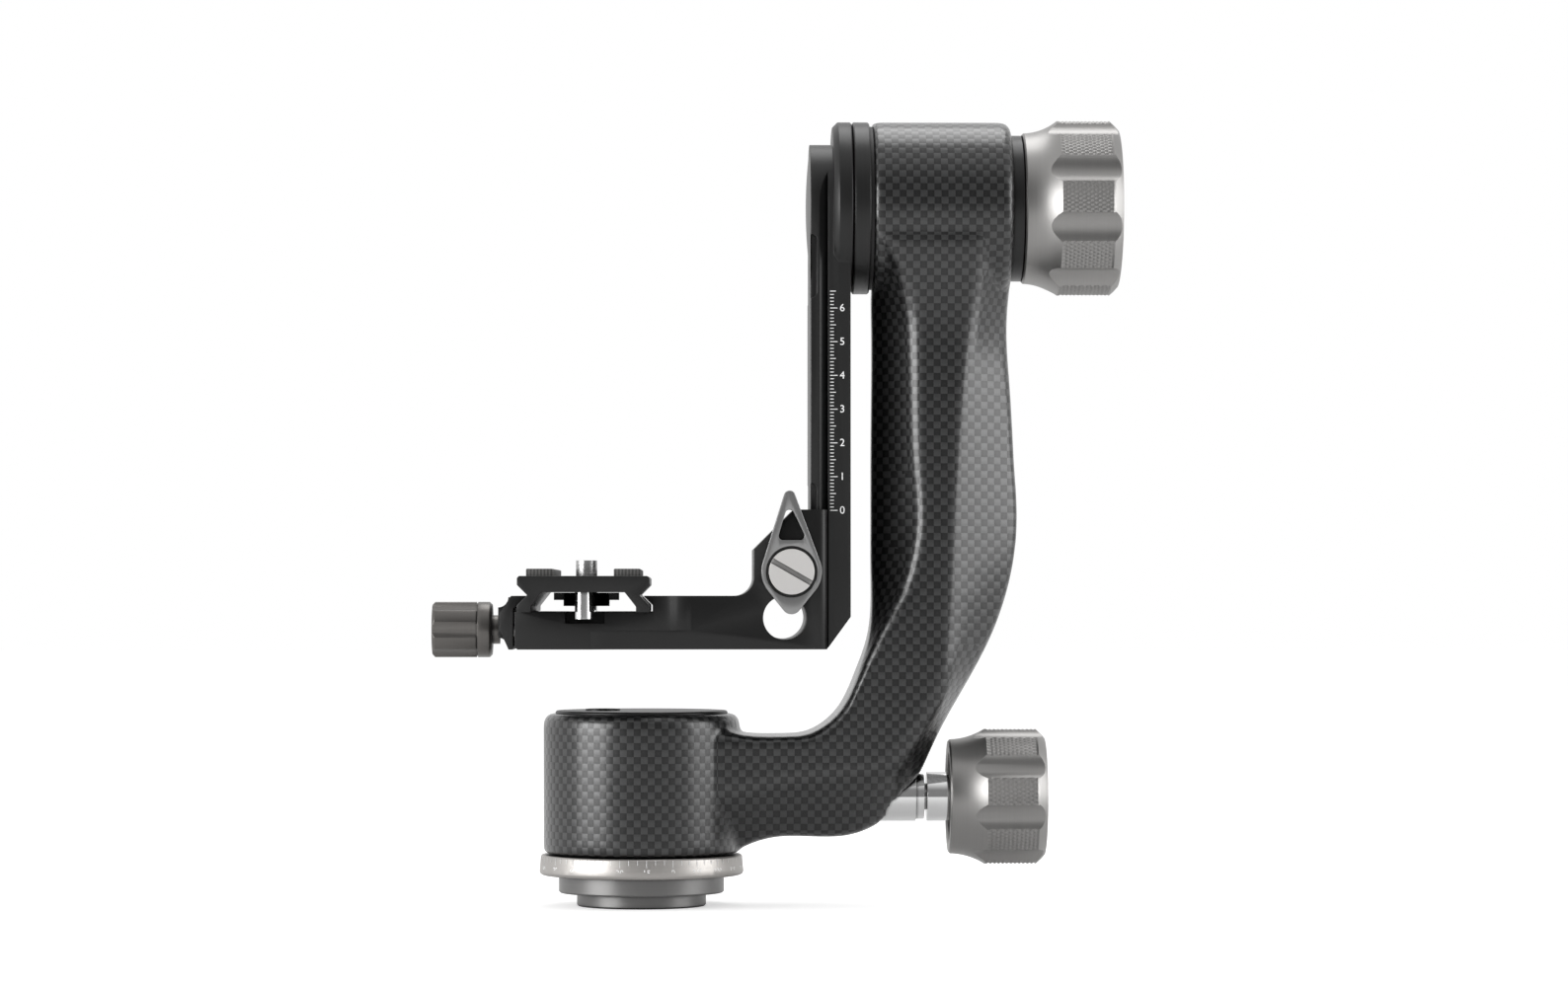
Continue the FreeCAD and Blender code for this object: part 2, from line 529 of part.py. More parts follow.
def section(station, east, up):
    edge_in, ridge_in, ridge_out, edge_out, share, extra = station
    depth = num("limb_depth") + extra
    nose = num("limb_nose") + share * (num("limb_flat") - num("limb_nose"))
    ring_points = [(edge_in, -nose), (ridge_in, -depth), (ridge_out, -depth),
                   (edge_out, -num("limb_edge")), (edge_out, num("limb_edge")),
                   (ridge_out, depth), (ridge_in, depth), (edge_in, nose)]
    corners = [V(point[0] + east, across, point[1] + up) for point, across in ring_points]
    edges = []
    share_of_side = 0.22
    starts = []
    ends = []
    for index, corner in enumerate(corners):
        before = corners[index - 1]
        after = corners[(index + 1) % len(corners)]
        reach = share_of_side * min(corner.distanceToPoint(before),
                                    corner.distanceToPoint(after))
        starts.append(corner.add(before.sub(corner).normalize().multiply(reach)))
        ends.append(corner.add(after.sub(corner).normalize().multiply(reach)))
    for index, corner in enumerate(corners):
        curve = Part.BezierCurve()
        curve.setPoles([starts[index], corner, ends[index]])
        edges.append(curve.toShape())
        edges.append(Part.LineSegment(ends[index], starts[(index + 1) % len(corners)]).toShape())
    return Part.Wire(edges)


sections = [section(station, num("upright_x"), num("tilt_height")) for station in UPPER_STATIONS]
sections += [section(station, 0.0, num(HUB_BOTTOM)) for station in LOWER_STATIONS]
limb = Part.makeLoft(sections, True, False)


# Cylinder along Z from the origin, with a rounded rim at each end
def round_hub(radius, length, round_low, round_high):
    solid = Part.makeCylinder(radius, length)
    low_rim = [edge for edge in solid.Edges if edge.BoundBox.ZMax < length / 2]
    solid = solid.makeFillet(round_low, low_rim)
    high_rim = [edge for edge in solid.Edges
                if edge.BoundBox.ZMin > length - round_high and edge.Closed]
    return solid.makeFillet(round_high, high_rim)


lower_hub = round_hub(num("hub_radius"), num("hub_height"), num("hub_round / 2"),
                      num("hub_round"))
lower_hub.Placement = FreeCAD.Placement(V(0, 0, num(HUB_BOTTOM)), FreeCAD.Rotation())
upper_hub = round_hub(num("tilt_hub_radius"), num("tilt_hub_length"), num("tilt_hub_break"),
                      num("tilt_hub_round"))
upper_hub.Placement = FreeCAD.Placement(V(num("upright_x"), 0, num("tilt_height")), TURN_TO_X)
bores = [
    Part.makeCylinder(num("sleeve_radius + fit_gap"), num("hub_height") + 2,
                      V(0, 0, num(HUB_BOTTOM) - 1)),
    Part.makeCylinder(num("tilt_sleeve_radius + fit_gap"), num("tilt_hub_length") + 4,
                      V(num("upright_x") - 2, 0, num("tilt_height")), V(1, 0, 0)),
    Part.makeCylinder(num("bush_radius + fit_gap"), num("bush_end"),
                      V(num("bush_start"), 0, num(LOCK_Z)), V(1, 0, 0)),
    Part.makeCylinder(num("shoe_radius + slide_gap"), num("bush_start"),
                      V(0, 0, num(LOCK_Z)), V(1, 0, 0))]
# The limb swells a little past the upper hub's two faces, so it is faced off level with them
facings = [
    Part.makeCylinder(num("tilt_hub_radius"), num("facing_depth"),
                      V(num("upright_x"), 0, num("tilt_height")), V(-1, 0, 0)),
    Part.makeCylinder(num("tilt_hub_radius"), num("facing_depth"),
                      V(num(TILT_END), 0, num("tilt_height")), V(1, 0, 0))]
carbon_arm = doc.addObject("Part::Feature", "carbon_arm")
carbon_arm.Shape = limb.fuse([lower_hub, upper_hub]).cut(bores + facings)
carbon_arm.Placement = FreeCAD.Placement()
node("carbon_arm", carbon_arm)

# Pan lock: bush through the arm, screw with its collar, brass shoe on the drum, knob, cover
node("lock_bush", turned("lock_bush", "X", [
    ("bush_start", "rod_radius + slide_gap"),
    ("bush_start", "bush_radius"),
    ("bush_end - bush_neck_length", "bush_radius"),
    ("bush_end - bush_neck_length", "bush_radius - bush_neck"),
    ("bush_end", "bush_radius - bush_neck"),
    ("bush_end", "rod_radius + slide_gap")], ("0", "0", LOCK_Z)))
PAN_CUP_FLOOR = "(pan_knob_start + pan_knob_cup_depth)"
node("pan_lock_rod", turned("pan_lock_rod", "X", [
    ("shoe_back + slide_gap", "0"),
    ("shoe_back + slide_gap", "rod_radius"),
    ("bush_end + collar_gap", "rod_radius"),
    ("bush_end + collar_gap", "bush_radius"),
    (PAN_CUP_FLOOR, "bush_radius"),
    (PAN_CUP_FLOOR, "rod_radius"),
    (PAN_CUP_FLOOR + " + knob_insert_length", "rod_radius"),
    (PAN_CUP_FLOOR + " + knob_insert_length", "0")], ("0", "0", LOCK_Z)))
shoe_blank = cylinder("shoe_blank", "X", "shoe_radius", "shoe_back", ("0", "0", LOCK_Z))
shoe_face = cylinder("shoe_face", "Z", "pan_drum_radius + shoe_gap", "4 * shoe_radius",
                     ("0", "0", LOCK_Z + " - 2 * shoe_radius"))
node("pan_brake_shoe", cut("pan_brake_shoe", shoe_blank, shoe_face))


# Lock knob: hollow-backed flared body with finger scallops milled along it
def knob(name, start, length, small, large, flare, chamfer, cavity, axis_height, scallops,
         turn, depth, cutter):
    flare_rise = "(" + large + " - " + small + ")"
    flare_radius = "((%s ^ 2 + %s ^ 2) / (2 * %s))" % (flare, flare_rise, flare_rise)
    end = "(" + start + " + " + length + ")"
    cover = "(" + large + " - knob_cover_margin)"
    points = list(cavity)
    points += [
        (start, small + " - edge_break"),
        (start + " + edge_break", small),
        (start + " + " + flare, large),
        (end + " - " + chamfer, large),
        (end, large + " - " + chamfer),
        (end, cover + " + fit_gap"),
        (end + " - knob_cover_depth", cover + " + fit_gap"),
        (end + " - knob_cover_depth", "0")]
    points[len(cavity) + 1] += (flare_radius, -1)
    body = turned(name, "X", points, ("0", "0", axis_height))
    sketch = body.newObject("Sketcher::SketchObject", name + "_scallop_outline")
    sketch.AttachmentSupport = (origin_plane(body, "YZ_Plane"), [""])
    sketch.MapMode = "FlatFace"
    reach = "(" + large + " - " + depth + " + " + cutter + ")"
    spot = (-num(reach) * math.cos(math.radians(num(turn))),
            -num(reach) * math.sin(math.radians(num(turn))))
    sketch.addGeometry(Part.Circle(V(spot[0], spot[1], 0), V(0, 0, 1), num(cutter)))
    bind(sketch, "Constraints[%d]" % sketch.addConstraint(
        Sketcher.Constraint("DistanceX", -1, 1, 0, 3, spot[0])), "-%s * cos(%s)" % (reach, turn))
    bind(sketch, "Constraints[%d]" % sketch.addConstraint(
        Sketcher.Constraint("DistanceY", -1, 1, 0, 3, spot[1])), "-%s * sin(%s)" % (reach, turn))
    bind(sketch, "Constraints[%d]" % sketch.addConstraint(
        Sketcher.Constraint("Radius", 0, num(cutter))), cutter)
    pocket = body.newObject("PartDesign::Pocket", name + "_scallop")
    pocket.Profile = sketch
    pocket.Type = "Length"
    pocket.Midplane = True
    bind(pocket, "Length", "4 * " + end)
    pattern = body.newObject("PartDesign::PolarPattern", name + "_scallops")
    pattern.Originals = [pocket]
    pattern.Axis = (origin_plane(body, "X_Axis"), [""])
    pattern.Angle = 360
    bind(pattern, "Occurrences", scallops)
    body.Tip = pattern
    return body


# Round cover along X: flat on one side, with a shallow dome past its rim on the other
def domed(name, radius, left, right, dome, toward, height):
    dome_radius = "((%s ^ 2 + %s ^ 2) / (2 * %s))" % (radius, dome, dome)
    disc = cylinder(name + "_disc", "X", radius, "(%s) - (%s)" % (right, left),
                    (left, "0", height))
    ball = doc.addObject("Part::Sphere", name + "_ball")
    bind(ball, "Radius", dome_radius)
    if toward > 0:
        place(ball, ("%s - %s" % (right, dome_radius), "0", height))
    else:
        place(ball, ("%s + %s" % (left, dome_radius), "0", height))
    return common(name, disc, ball)


def knob_cover(name, start, length, large, axis_height):
    end = "(" + start + " + " + length + ")"
    return domed(name, "(" + large + " - knob_cover_margin)", end + " - knob_cover_depth",
                 end + " + knob_cover_dome", "knob_cover_dome", 1, axis_height)


node("pan_lock_knob", knob("pan_lock_knob", "pan_knob_start", "pan_knob_length",
                           "pan_knob_small", "pan_knob_radius", "pan_knob_flare",
                           "pan_knob_chamfer", [
                               (PAN_CUP_FLOOR + " + knob_insert_length + fit_gap", "0"),
                               (PAN_CUP_FLOOR + " + knob_insert_length + fit_gap",
                                "rod_radius + fit_gap"),
                               (PAN_CUP_FLOOR, "rod_radius + fit_gap"),
                               (PAN_CUP_FLOOR, "pan_knob_cup"),
                               ("pan_knob_start + 2 * edge_break", "pan_knob_cup"),
                               ("pan_knob_start", "pan_knob_cup + 2 * edge_break")],
                           LOCK_Z, "pan_scallops", "pan_scallop_turn", "pan_scallop_cut",
                           "pan_scallop_radius"))
node("pan_knob_cover", knob_cover("pan_knob_cover", "pan_knob_start", "pan_knob_length",
                                  "pan_knob_radius", LOCK_Z))

# Tilt hub: sleeve, flange, seal ring, flange screws and bearings
TILT_AXIS = ("0", "0", "tilt_height")
tilt_sleeve_body = turned("upper_sleeve_turned", "X", [
    (SEAL_LEFT, "flange_bore"),
    (SEAL_LEFT, "tilt_sleeve_radius"),
    (TILT_END, "tilt_sleeve_radius"),
    (TILT_END, "tilt_bearing_radius"),
    (TILT_HIGH, "tilt_bearing_radius"),
    (TILT_HIGH, "tilt_bearing_radius - bearing_lip"),
    (TILT_LOW_END, "tilt_bearing_radius - bearing_lip"),
    (TILT_LOW_END, "tilt_bearing_radius"),
    (TILT_LOW, "tilt_bearing_radius"),
    (TILT_LOW, "flange_bore")], TILT_AXIS)
flange_body = turned("tilt_flange_turned", "X", [
    (FLANGE_LEFT, "flange_bore"),
    (FLANGE_LEFT, "tilt_hub_radius - edge_break"),
    (FLANGE_LEFT + " + edge_break", "tilt_hub_radius"),
    (SEAL_LEFT + " - edge_break", "tilt_hub_radius"),
    (SEAL_LEFT, "tilt_hub_radius - edge_break"),
    (SEAL_LEFT, "flange_bore")], TILT_AXIS)
sleeve_taps = []
flange_holes = []
flange_screws = []
for index, (across, up) in enumerate(around("flange_screw_count", "flange_screw_circle", "45")):
    rise = "tilt_height + " + up
    head_at = (FLANGE_LEFT + " + turn_gap", across, rise)
    tap_depth = "seal_width + tilt_bearing_inset"
    sleeve_taps.append(cylinder("sleeve_tap_%d" % index, "X", "flange_screw_radius + fit_gap",
                                tap_depth, (SEAL_LEFT, across, rise)))
    flange_holes.append(cylinder("flange_hole_%d" % index, "X",
                                 "flange_screw_radius + fit_gap", "flange_width",
                                 (FLANGE_LEFT, across, rise)))
    flange_holes.append(cylinder("flange_sink_%d" % index, "X",
                                 "flange_screw_head + fit_gap",
                                 "turn_gap + flange_screw_head_height",
                                 (FLANGE_LEFT, across, rise)))
    flange_screws.append(fuse(
        "flange_screw_%d" % index,
        cylinder("flange_head_%d" % index, "X", "flange_screw_head",
                 "flange_screw_head_height", head_at),
        cylinder("flange_shank_%d" % index, "X", "flange_screw_radius",
                 "flange_width - 2 * turn_gap + " + tap_depth, head_at)))
node("upper_hub_sleeve", cut("upper_hub_sleeve", tilt_sleeve_body, *sleeve_taps))
node("tilt_flange", cut("tilt_flange", flange_body, *flange_holes))
node("flange_screws", group("flange_screws", *flange_screws))
node("tilt_seal_ring", ring("tilt_seal_ring", "X", "tilt_sleeve_radius + fit_gap",
                            "seal_radius", SEAL_LEFT, "upright_x", TILT_AXIS))
tilt_bearings = [bearing("tilt_bearing_" + where, "X", "tilt_shaft_radius",
                         "tilt_bearing_radius", "tilt_race_wall", "tilt_bearing_width",
                         "tilt_ball_radius", "tilt_ball_count", start, "tilt_height")
                 for where, start in (("inner", TILT_LOW), ("outer", TILT_HIGH))]
node("tilt_bearing_inner_races", group("tilt_bearing_inner_races",
                                       *[races[0] for races in tilt_bearings]))
node("tilt_bearing_outer_races", group("tilt_bearing_outer_races",
                                       *[races[1] for races in tilt_bearings]))
node("tilt_bearing_balls", group("tilt_bearing_balls", *[ball for races in tilt_bearings
                                                         for ball in races[2]]))
node("tilt_bearing_spacer", ring("tilt_bearing_spacer", "X", "tilt_shaft_radius + fit_gap",
                                 "tilt_shaft_radius + tilt_race_wall", TILT_LOW_END, TILT_HIGH,
                                 TILT_AXIS))
node("knob_spacer_ring", turned("knob_spacer_ring", "X", [
    (TILT_HIGH_END, "tilt_shaft_radius + tilt_race_wall + bearing_lip"),
    (TILT_HIGH_END, "tilt_bearing_radius - fit_gap"),
    (TILT_END, "tilt_bearing_radius - fit_gap"),
    (TILT_END, "spacer_radius"),
    (SPACER_END, "spacer_radius"),
    (SPACER_END, "washer_radius + fit_gap"),
    (SPACER_END + " - washer_width", "washer_radius + fit_gap"),
    (SPACER_END + " - washer_width", "tilt_shaft_radius + tilt_race_wall + bearing_lip")],
    TILT_AXIS))
node("tilt_friction_washer", ring("tilt_friction_washer", "X",
                                  "tilt_shaft_radius + tilt_race_wall + bearing_lip",
                                  "washer_radius", SPACER_END + " - washer_width",
                                  SPACER_END, TILT_AXIS))

# Tilt spindle, its bolt, key pins and clip
PRESSURE_END = "(" + KNOB_START + " + pressure_width)"
THREAD_START = "(" + PRESSURE_END + " - thread_relief)"
SPINDLE_TIP = "(" + PRESSURE_END + " + knob_insert_length - 2 * knob_lift)"
BOLT_SEAT = "(" + ARM_FACE + " - spindle_flange_width)"
spindle_turned = turned("tilt_spindle_turned", "X", [
    (BOLT_SEAT, "spindle_bolt_radius + fit_gap"),
    (BOLT_SEAT, "spindle_flange_radius"),
    (ARM_FACE, "spindle_flange_radius"),
    (ARM_FACE, "tilt_shaft_radius + tilt_race_wall / 2 - fit_gap"),
    (TILT_LOW, "tilt_shaft_radius + tilt_race_wall / 2 - fit_gap"),
    (TILT_LOW, "tilt_shaft_radius"),
    (TILT_HIGH_END, "tilt_shaft_radius"),
    (TILT_HIGH_END, "tilt_shaft_radius - clip_groove"),
    (TILT_HIGH_END + " + clip_width", "tilt_shaft_radius - clip_groove"),
    (TILT_HIGH_END + " + clip_width", "tilt_shaft_radius"),
    (THREAD_START, "tilt_shaft_radius"),
    (THREAD_START, "tilt_thread_radius"),
    (SPINDLE_TIP, "tilt_thread_radius"),
    (SPINDLE_TIP, "0"),
    (BOLT_SEAT + " + spindle_bolt_length", "0"),
    (BOLT_SEAT + " + spindle_bolt_length", "spindle_bolt_radius + fit_gap")], TILT_AXIS)
key_holes = []
key_pins = []
arm_key_holes = []
for index, (across, up) in enumerate(around("key_pin_count", "key_pin_circle", "90")):
    start = BOLT_SEAT + " - 2 * key_pin_radius"
    at = (start, across, "tilt_height + " + up)
    span = "4 * key_pin_radius"
    key_holes.append(cylinder("key_hole_%d" % index, "X", "key_pin_radius + fit_gap", span, at))
    arm_key_holes.append(cylinder("arm_key_hole_%d" % index, "X", "key_pin_radius + fit_gap",
                                  span, at))
    key_pins.append(cylinder("key_pin_%d" % index, "X", "key_pin_radius", span, at))
node("tilt_spindle", cut("tilt_spindle", spindle_turned, *key_holes))
node("spindle_key_pins", group("spindle_key_pins", *key_pins))
node("spindle_clip", ring("spindle_clip", "X", "tilt_shaft_radius - clip_groove + fit_gap",
                          "tilt_shaft_radius + clip_wall - edge_break", TILT_HIGH_END,
                          TILT_HIGH_END + " + clip_width", TILT_AXIS))
BOLT_LEFT = "(" + BOLT_SEAT + " - groove_depth - spindle_bolt_head_height)"
node("spindle_bolt", turned("spindle_bolt", "X", [
    (BOLT_LEFT, "0"),
    (BOLT_LEFT, "spindle_bolt_head"),
    (BOLT_LEFT + " + spindle_bolt_head_height", "spindle_bolt_head"),
    (BOLT_LEFT + " + spindle_bolt_head_height", "spindle_bolt_radius"),
    (BOLT_SEAT + " + spindle_bolt_length - turn_gap", "spindle_bolt_radius"),
    (BOLT_SEAT + " + spindle_bolt_length - turn_gap", "0")], TILT_AXIS))
node("pivot_cover", domed("pivot_cover", "cover_radius", "(" + RAIL_FRONT + " - cover_dome)",
                          "(" + RAIL_FRONT + " + cover_seat)", "cover_dome", -1, "tilt_height"))

# Tilt lock: pressure ring keyed on the spindle, knob with its threaded insert, cover
node("tilt_pressure_ring", ring("tilt_pressure_ring", "X", "tilt_shaft_radius + slide_gap",
                                "pressure_radius", KNOB_START, PRESSURE_END, TILT_AXIS))
node("tilt_knob_insert", ring("tilt_knob_insert", "X", "tilt_thread_radius + slide_gap",
                              "knob_insert_radius", PRESSURE_END,
                              PRESSURE_END + " + knob_insert_length", TILT_AXIS))
node("tilt_lock_knob", knob("tilt_lock_knob", KNOB_START, "tilt_knob_length",
                            "tilt_knob_small", "tilt_knob_radius", "tilt_knob_flare",
                            "tilt_knob_chamfer", [
                                (PRESSURE_END + " + knob_insert_length + fit_gap", "0"),
                                (PRESSURE_END + " + knob_insert_length + fit_gap",
                                 "knob_insert_radius + fit_gap"),
                                (PRESSURE_END, "knob_insert_radius + fit_gap"),
                                (PRESSURE_END, "pressure_radius + turn_gap"),
                                (KNOB_START, "pressure_radius + turn_gap")],
                            "tilt_height", "tilt_scallops", "tilt_scallop_turn",
                            "tilt_scallop_cut", "tilt_scallop_radius"))
node("tilt_knob_cover", knob_cover("tilt_knob_cover", KNOB_START, "tilt_knob_length",
                                   "tilt_knob_radius", "tilt_height"))

# Swing arm: disc and dovetail rail in one piece
arm_disc = turned("arm_disc", "X", [
    (DISC_LEFT, "0"),
    (DISC_LEFT, "tilt_hub_radius - arm_disc_chamfer"),
    (DISC_LEFT + " + arm_disc_chamfer", "tilt_hub_radius"),
    (ARM_FACE + " - edge_break", "tilt_hub_radius"),
    (ARM_FACE, "tilt_hub_radius - edge_break"),
    (ARM_FACE, "0")], TILT_AXIS)
rail_bar = prism("rail_bar", "YZ", [
    ("-rail_width / 2", RAIL_BOTTOM),
    ("rail_width / 2", RAIL_BOTTOM),
    ("rail_width / 2", "tilt_height", "rail_width / 2", -1),
    ("0", "tilt_height + rail_width / 2", "rail_width / 2", -1),
    ("-rail_width / 2", "tilt_height")], RAIL_FRONT, RAIL_BACK + " - " + RAIL_FRONT)
rail_cuts = []
for side in ("", "-"):
    rail_cuts.append(prism("rail_groove" + ("_far" if side else "_near"), "XY", [
        (EDGE_BACK, side + "(-rail_width / 2 - 1)"),
        (BAR_FRONT, side + "(-rail_width / 2 - 1)"),
        (BAR_FRONT, side + "(-rail_width / 2 + groove_depth)"),
        (EDGE_BACK, side + "(-rail_width / 2)")], RAIL_BOTTOM + " - 1", "rail_length + rail_width"))
rail_cuts.append(prism("rail_foot_chamfer", "XZ", [
    (RAIL_BACK + " - rail_chamfer", RAIL_BOTTOM),
    (RAIL_BACK + " - rail_chamfer", RAIL_BOTTOM + " - 1"),
    (RAIL_BACK + " + 1", RAIL_BOTTOM + " - 1"),
    (RAIL_BACK + " + 1", RAIL_BOTTOM + " + rail_chamfer_height"),
    (RAIL_BACK, RAIL_BOTTOM + " + rail_chamfer_height")], "-rail_width", "2 * rail_width"))
NOTCH_FLOOR = "(" + RAIL_FRONT + " + notch_depth)"
for name, top, bottom in (("upper", "(tilt_height - notch_top)",
                           "(tilt_height - notch_top - notch_length)"),
                          ("lower", "(tilt_height - low_notch_top)",
                           "(" + RAIL_BOTTOM + " - 2 * notch_depth)")):
    for side, start in (("near", "-rail_width / 2 - 1"), ("far", "rail_width / 2 - notch_width")):
        rail_cuts.append(prism("rail_notch_%s_%s" % (name, side), "XZ", [
            (RAIL_FRONT + " - 1", bottom),
            (RAIL_FRONT, bottom, "notch_depth", -1),
            (NOTCH_FLOOR, bottom + " + notch_depth"),
            (NOTCH_FLOOR, top + " - notch_depth", "notch_depth", -1),
            (RAIL_FRONT, top),
            (RAIL_FRONT + " - 1", top)], start, "notch_width + 1"))
rail_cuts.append(cylinder("cover_seat_bore", "X", "cover_radius + fit_gap", "cover_seat",
                          (RAIL_FRONT, "0", "tilt_height")))
rail_cuts.append(cylinder("bolt_sink", "X", "spindle_bolt_head + fit_gap",
                          BOLT_LEFT + " + spindle_bolt_head_height - " + RAIL_FRONT,
                          (RAIL_FRONT, "0", "tilt_height")))
rail_cuts.append(cylinder("bolt_way", "X", "spindle_bolt_radius + fit_gap",
                          ARM_FACE + " - " + RAIL_FRONT, (RAIL_FRONT, "0", "tilt_height")))
rail_cuts.append(cylinder("spindle_seat", "X", "spindle_flange_radius + fit_gap",
                          "spindle_flange_width + 1", (BOLT_SEAT, "0", "tilt_height")))
rail_cuts.append(cylinder("stop_screw_tap", "X", "stop_screw_radius + fit_gap",
                          "stop_screw_length",
                          (RAIL_FRONT, "0", RAIL_BOTTOM + " + stop_screw_rise")))
node("swing_arm", cut("swing_arm", fuse("swing_arm_blank", rail_bar, arm_disc),
                      *rail_cuts, *arm_key_holes))
node("rail_stop_screw", turned("rail_stop_screw", "X", [
    (RAIL_FRONT + " - stop_screw_stand", "0"),
    (RAIL_FRONT + " - stop_screw_stand", "stop_screw_head"),
    (RAIL_FRONT, "stop_screw_head"),
    (RAIL_FRONT, "stop_screw_radius"),
    (RAIL_FRONT + " + stop_screw_length - turn_gap", "stop_screw_radius"),
    (RAIL_FRONT + " + stop_screw_length - turn_gap", "0")],
    ("0", "0", RAIL_BOTTOM + " + stop_screw_rise")))

# Platform bracket: column round the rail, platform, fixed jaw and clamp head
BRACKET_RIGHT = "(" + BAR_FRONT + " - turn_gap)"
COLUMN_LEFT = "(" + RAIL_FRONT + " - column_depth)"
PLATE_EDGE = "(" + PLATE_X + " + plate_width / 2)"
FOOT_CORNER = "(" + FLOOR + " + plate_foot)"
GRIP_X = "(" + PLATE_EDGE + " + grip_gap)"
LIP_X = "(" + GRIP_X + " - lip_height + plate_foot)"
bracket_outline = [
    (HEAD_LEFT, RAIL_BOTTOM + " + 2 * edge_break"),
    (HEAD_LEFT + " + 2 * edge_break", RAIL_BOTTOM),
    (BRACKET_RIGHT, RAIL_BOTTOM),
    (BRACKET_RIGHT, BRACKET_TOP),
    (COLUMN_LEFT + " + column_slope", BRACKET_TOP),
    (COLUMN_LEFT, BRACKET_TOP + " - column_slope"),
    (COLUMN_LEFT, LIP_TOP + " + column_round", "column_round", 1),
    (COLUMN_LEFT + " - column_round", LIP_TOP),
    (LIP_X, LIP_TOP),
    (GRIP_X, FOOT_CORNER),
    (GRIP_X, FLOOR),
    (HEAD_LEFT, FLOOR)]
bracket_arm = prism("bracket_arm", "XZ", bracket_outline, NEAR_FACE, "bracket_width")


# Plan of the clamp head, full width from the left. The upper part is drawn in on both sides by
# an S curve, and the lower part steps in to a hollow curve.
def head_plan(start, blend, hollow):
    wide = "head_width / 2"
    slim = "bracket_width / 2"
    step = "((head_width - bracket_width) / 2)"
    finish = "(" + start + " + " + blend + ")"
    if hollow:
        radius = "((%s ^ 2 + %s ^ 2) / (2 * %s))" % (blend, step, step)
        return [(HEAD_LEFT, "-" + wide), (start, "-" + wide, radius, 1), (finish, "-" + slim),
                (finish, slim, radius, 1), (start, wide), (HEAD_LEFT, wide)]
    middle = "(%s + %s / 2)" % (start, blend)
    half_way = "((head_width + bracket_width) / 4)"
    radius = "(((%s / 2) ^ 2 + (%s / 2) ^ 2) / %s)" % (blend, step, step)
    return [
        (HEAD_LEFT, "-" + wide),
        (start, "-" + wide, radius, -1),
        (middle, "-" + half_way, radius, 1),
        (finish, "-" + slim),
        (finish, slim, radius, 1),
        (middle, half_way, radius, -1),
        (start, wide),
        (HEAD_LEFT, wide)]


head_solid = prism("head_solid", "XZ", [
    (HEAD_LEFT, RAIL_BOTTOM + " + 2 * edge_break"),
    (HEAD_LEFT + " + 2 * edge_break", RAIL_BOTTOM),
    (COLUMN_LEFT, RAIL_BOTTOM),
    (COLUMN_LEFT, LIP_TOP),
    (LIP_X, LIP_TOP),
    (GRIP_X, FOOT_CORNER),
    (GRIP_X, FLOOR),
    (HEAD_LEFT, FLOOR)], "-head_width / 2", "head_width")
upper_plan = prism("upper_plan", "XY",
                   head_plan("(" + PLATE_X + " + head_blend_start)", "head_blend", False),
                   RAIL_BOTTOM + " + head_step", "bracket_height")
lower_plan = prism("lower_plan", "XY",
                   head_plan("(" + PLATE_X + " + low_blend_start)", "low_blend", True),
                   RAIL_BOTTOM, "head_step")
clamp_head = common("clamp_head", head_solid, fuse("head_plans", upper_plan, lower_plan))
bracket_blank = fuse("bracket_blank", bracket_arm, clamp_head)
bracket_rounded = rounded(
    "bracket_rounded", bracket_blank, "column_edge",
    lambda middle, along, edge: abs(along.z) > 0.99 and near(middle.x, BRACKET_RIGHT))
channel_half = "(rail_width / 2 + guide_gap)"
bracket_cuts = [
    prism("rail_channel", "XY", [
        (RAIL_FRONT + " - guide_gap", "-" + channel_half),
        (EDGE_BACK + " + guide_gap / 2", "-" + channel_half),
        (BRACKET_RIGHT + " + 1",
         "-(" + channel_half + " - (" + BRACKET_RIGHT + " + 1 - " + EDGE_BACK + " - guide_gap / 2))"),
        (BRACKET_RIGHT + " + 1",
         "(" + channel_half + " - (" + BRACKET_RIGHT + " + 1 - " + EDGE_BACK + " - guide_gap / 2))"),
        (EDGE_BACK + " + guide_gap / 2", channel_half),
        (RAIL_FRONT + " - guide_gap", channel_half)], RAIL_BOTTOM + " - 1", "bracket_height + 2"),
    cylinder("strap_hole", "Y", "strap_hole_radius", "2 * bracket_width",
             (RAIL_FRONT + " - strap_hole_back", "-bracket_width",
              RAIL_BOTTOM + " + strap_hole_rise")),
    box("stop_slot", ("stop_screw_stand + 2 * guide_gap", "2 * stop_screw_head + 2 * guide_gap",
                      "stop_slot_height + 1"),
        (RAIL_FRONT + " - stop_screw_stand - 2 * guide_gap", "-stop_screw_head - guide_gap",
         RAIL_BOTTOM + " - 1")),
    cylinder("lever_way", "Y", "lever_shaft_radius + slide_gap", "bracket_width",
             (LEVER_X, "-bracket_width", LEVER_Z)),
    cylinder("lever_journal_way", "Y", "lever_tip_journal + slide_gap",
             "lever_shaft_end + turn_gap", (LEVER_X, "0", LEVER_Z)),
    box("cam_chamber", (
        RAIL_FRONT + " - " + LEVER_X + " + cam_chamber_back", "cam_length + 2 * guide_gap",
        "pad_block_height + 2 * guide_gap"),
        (LEVER_X + " - cam_chamber_back", "-cam_length / 2 - guide_gap",
         LEVER_Z + " - pad_block_height / 2 - guide_gap")),
    cylinder("stud_tap", "X", "stud_radius + fit_gap", "stud_start",
             (HEAD_LEFT, "0", SCREW_Z))]
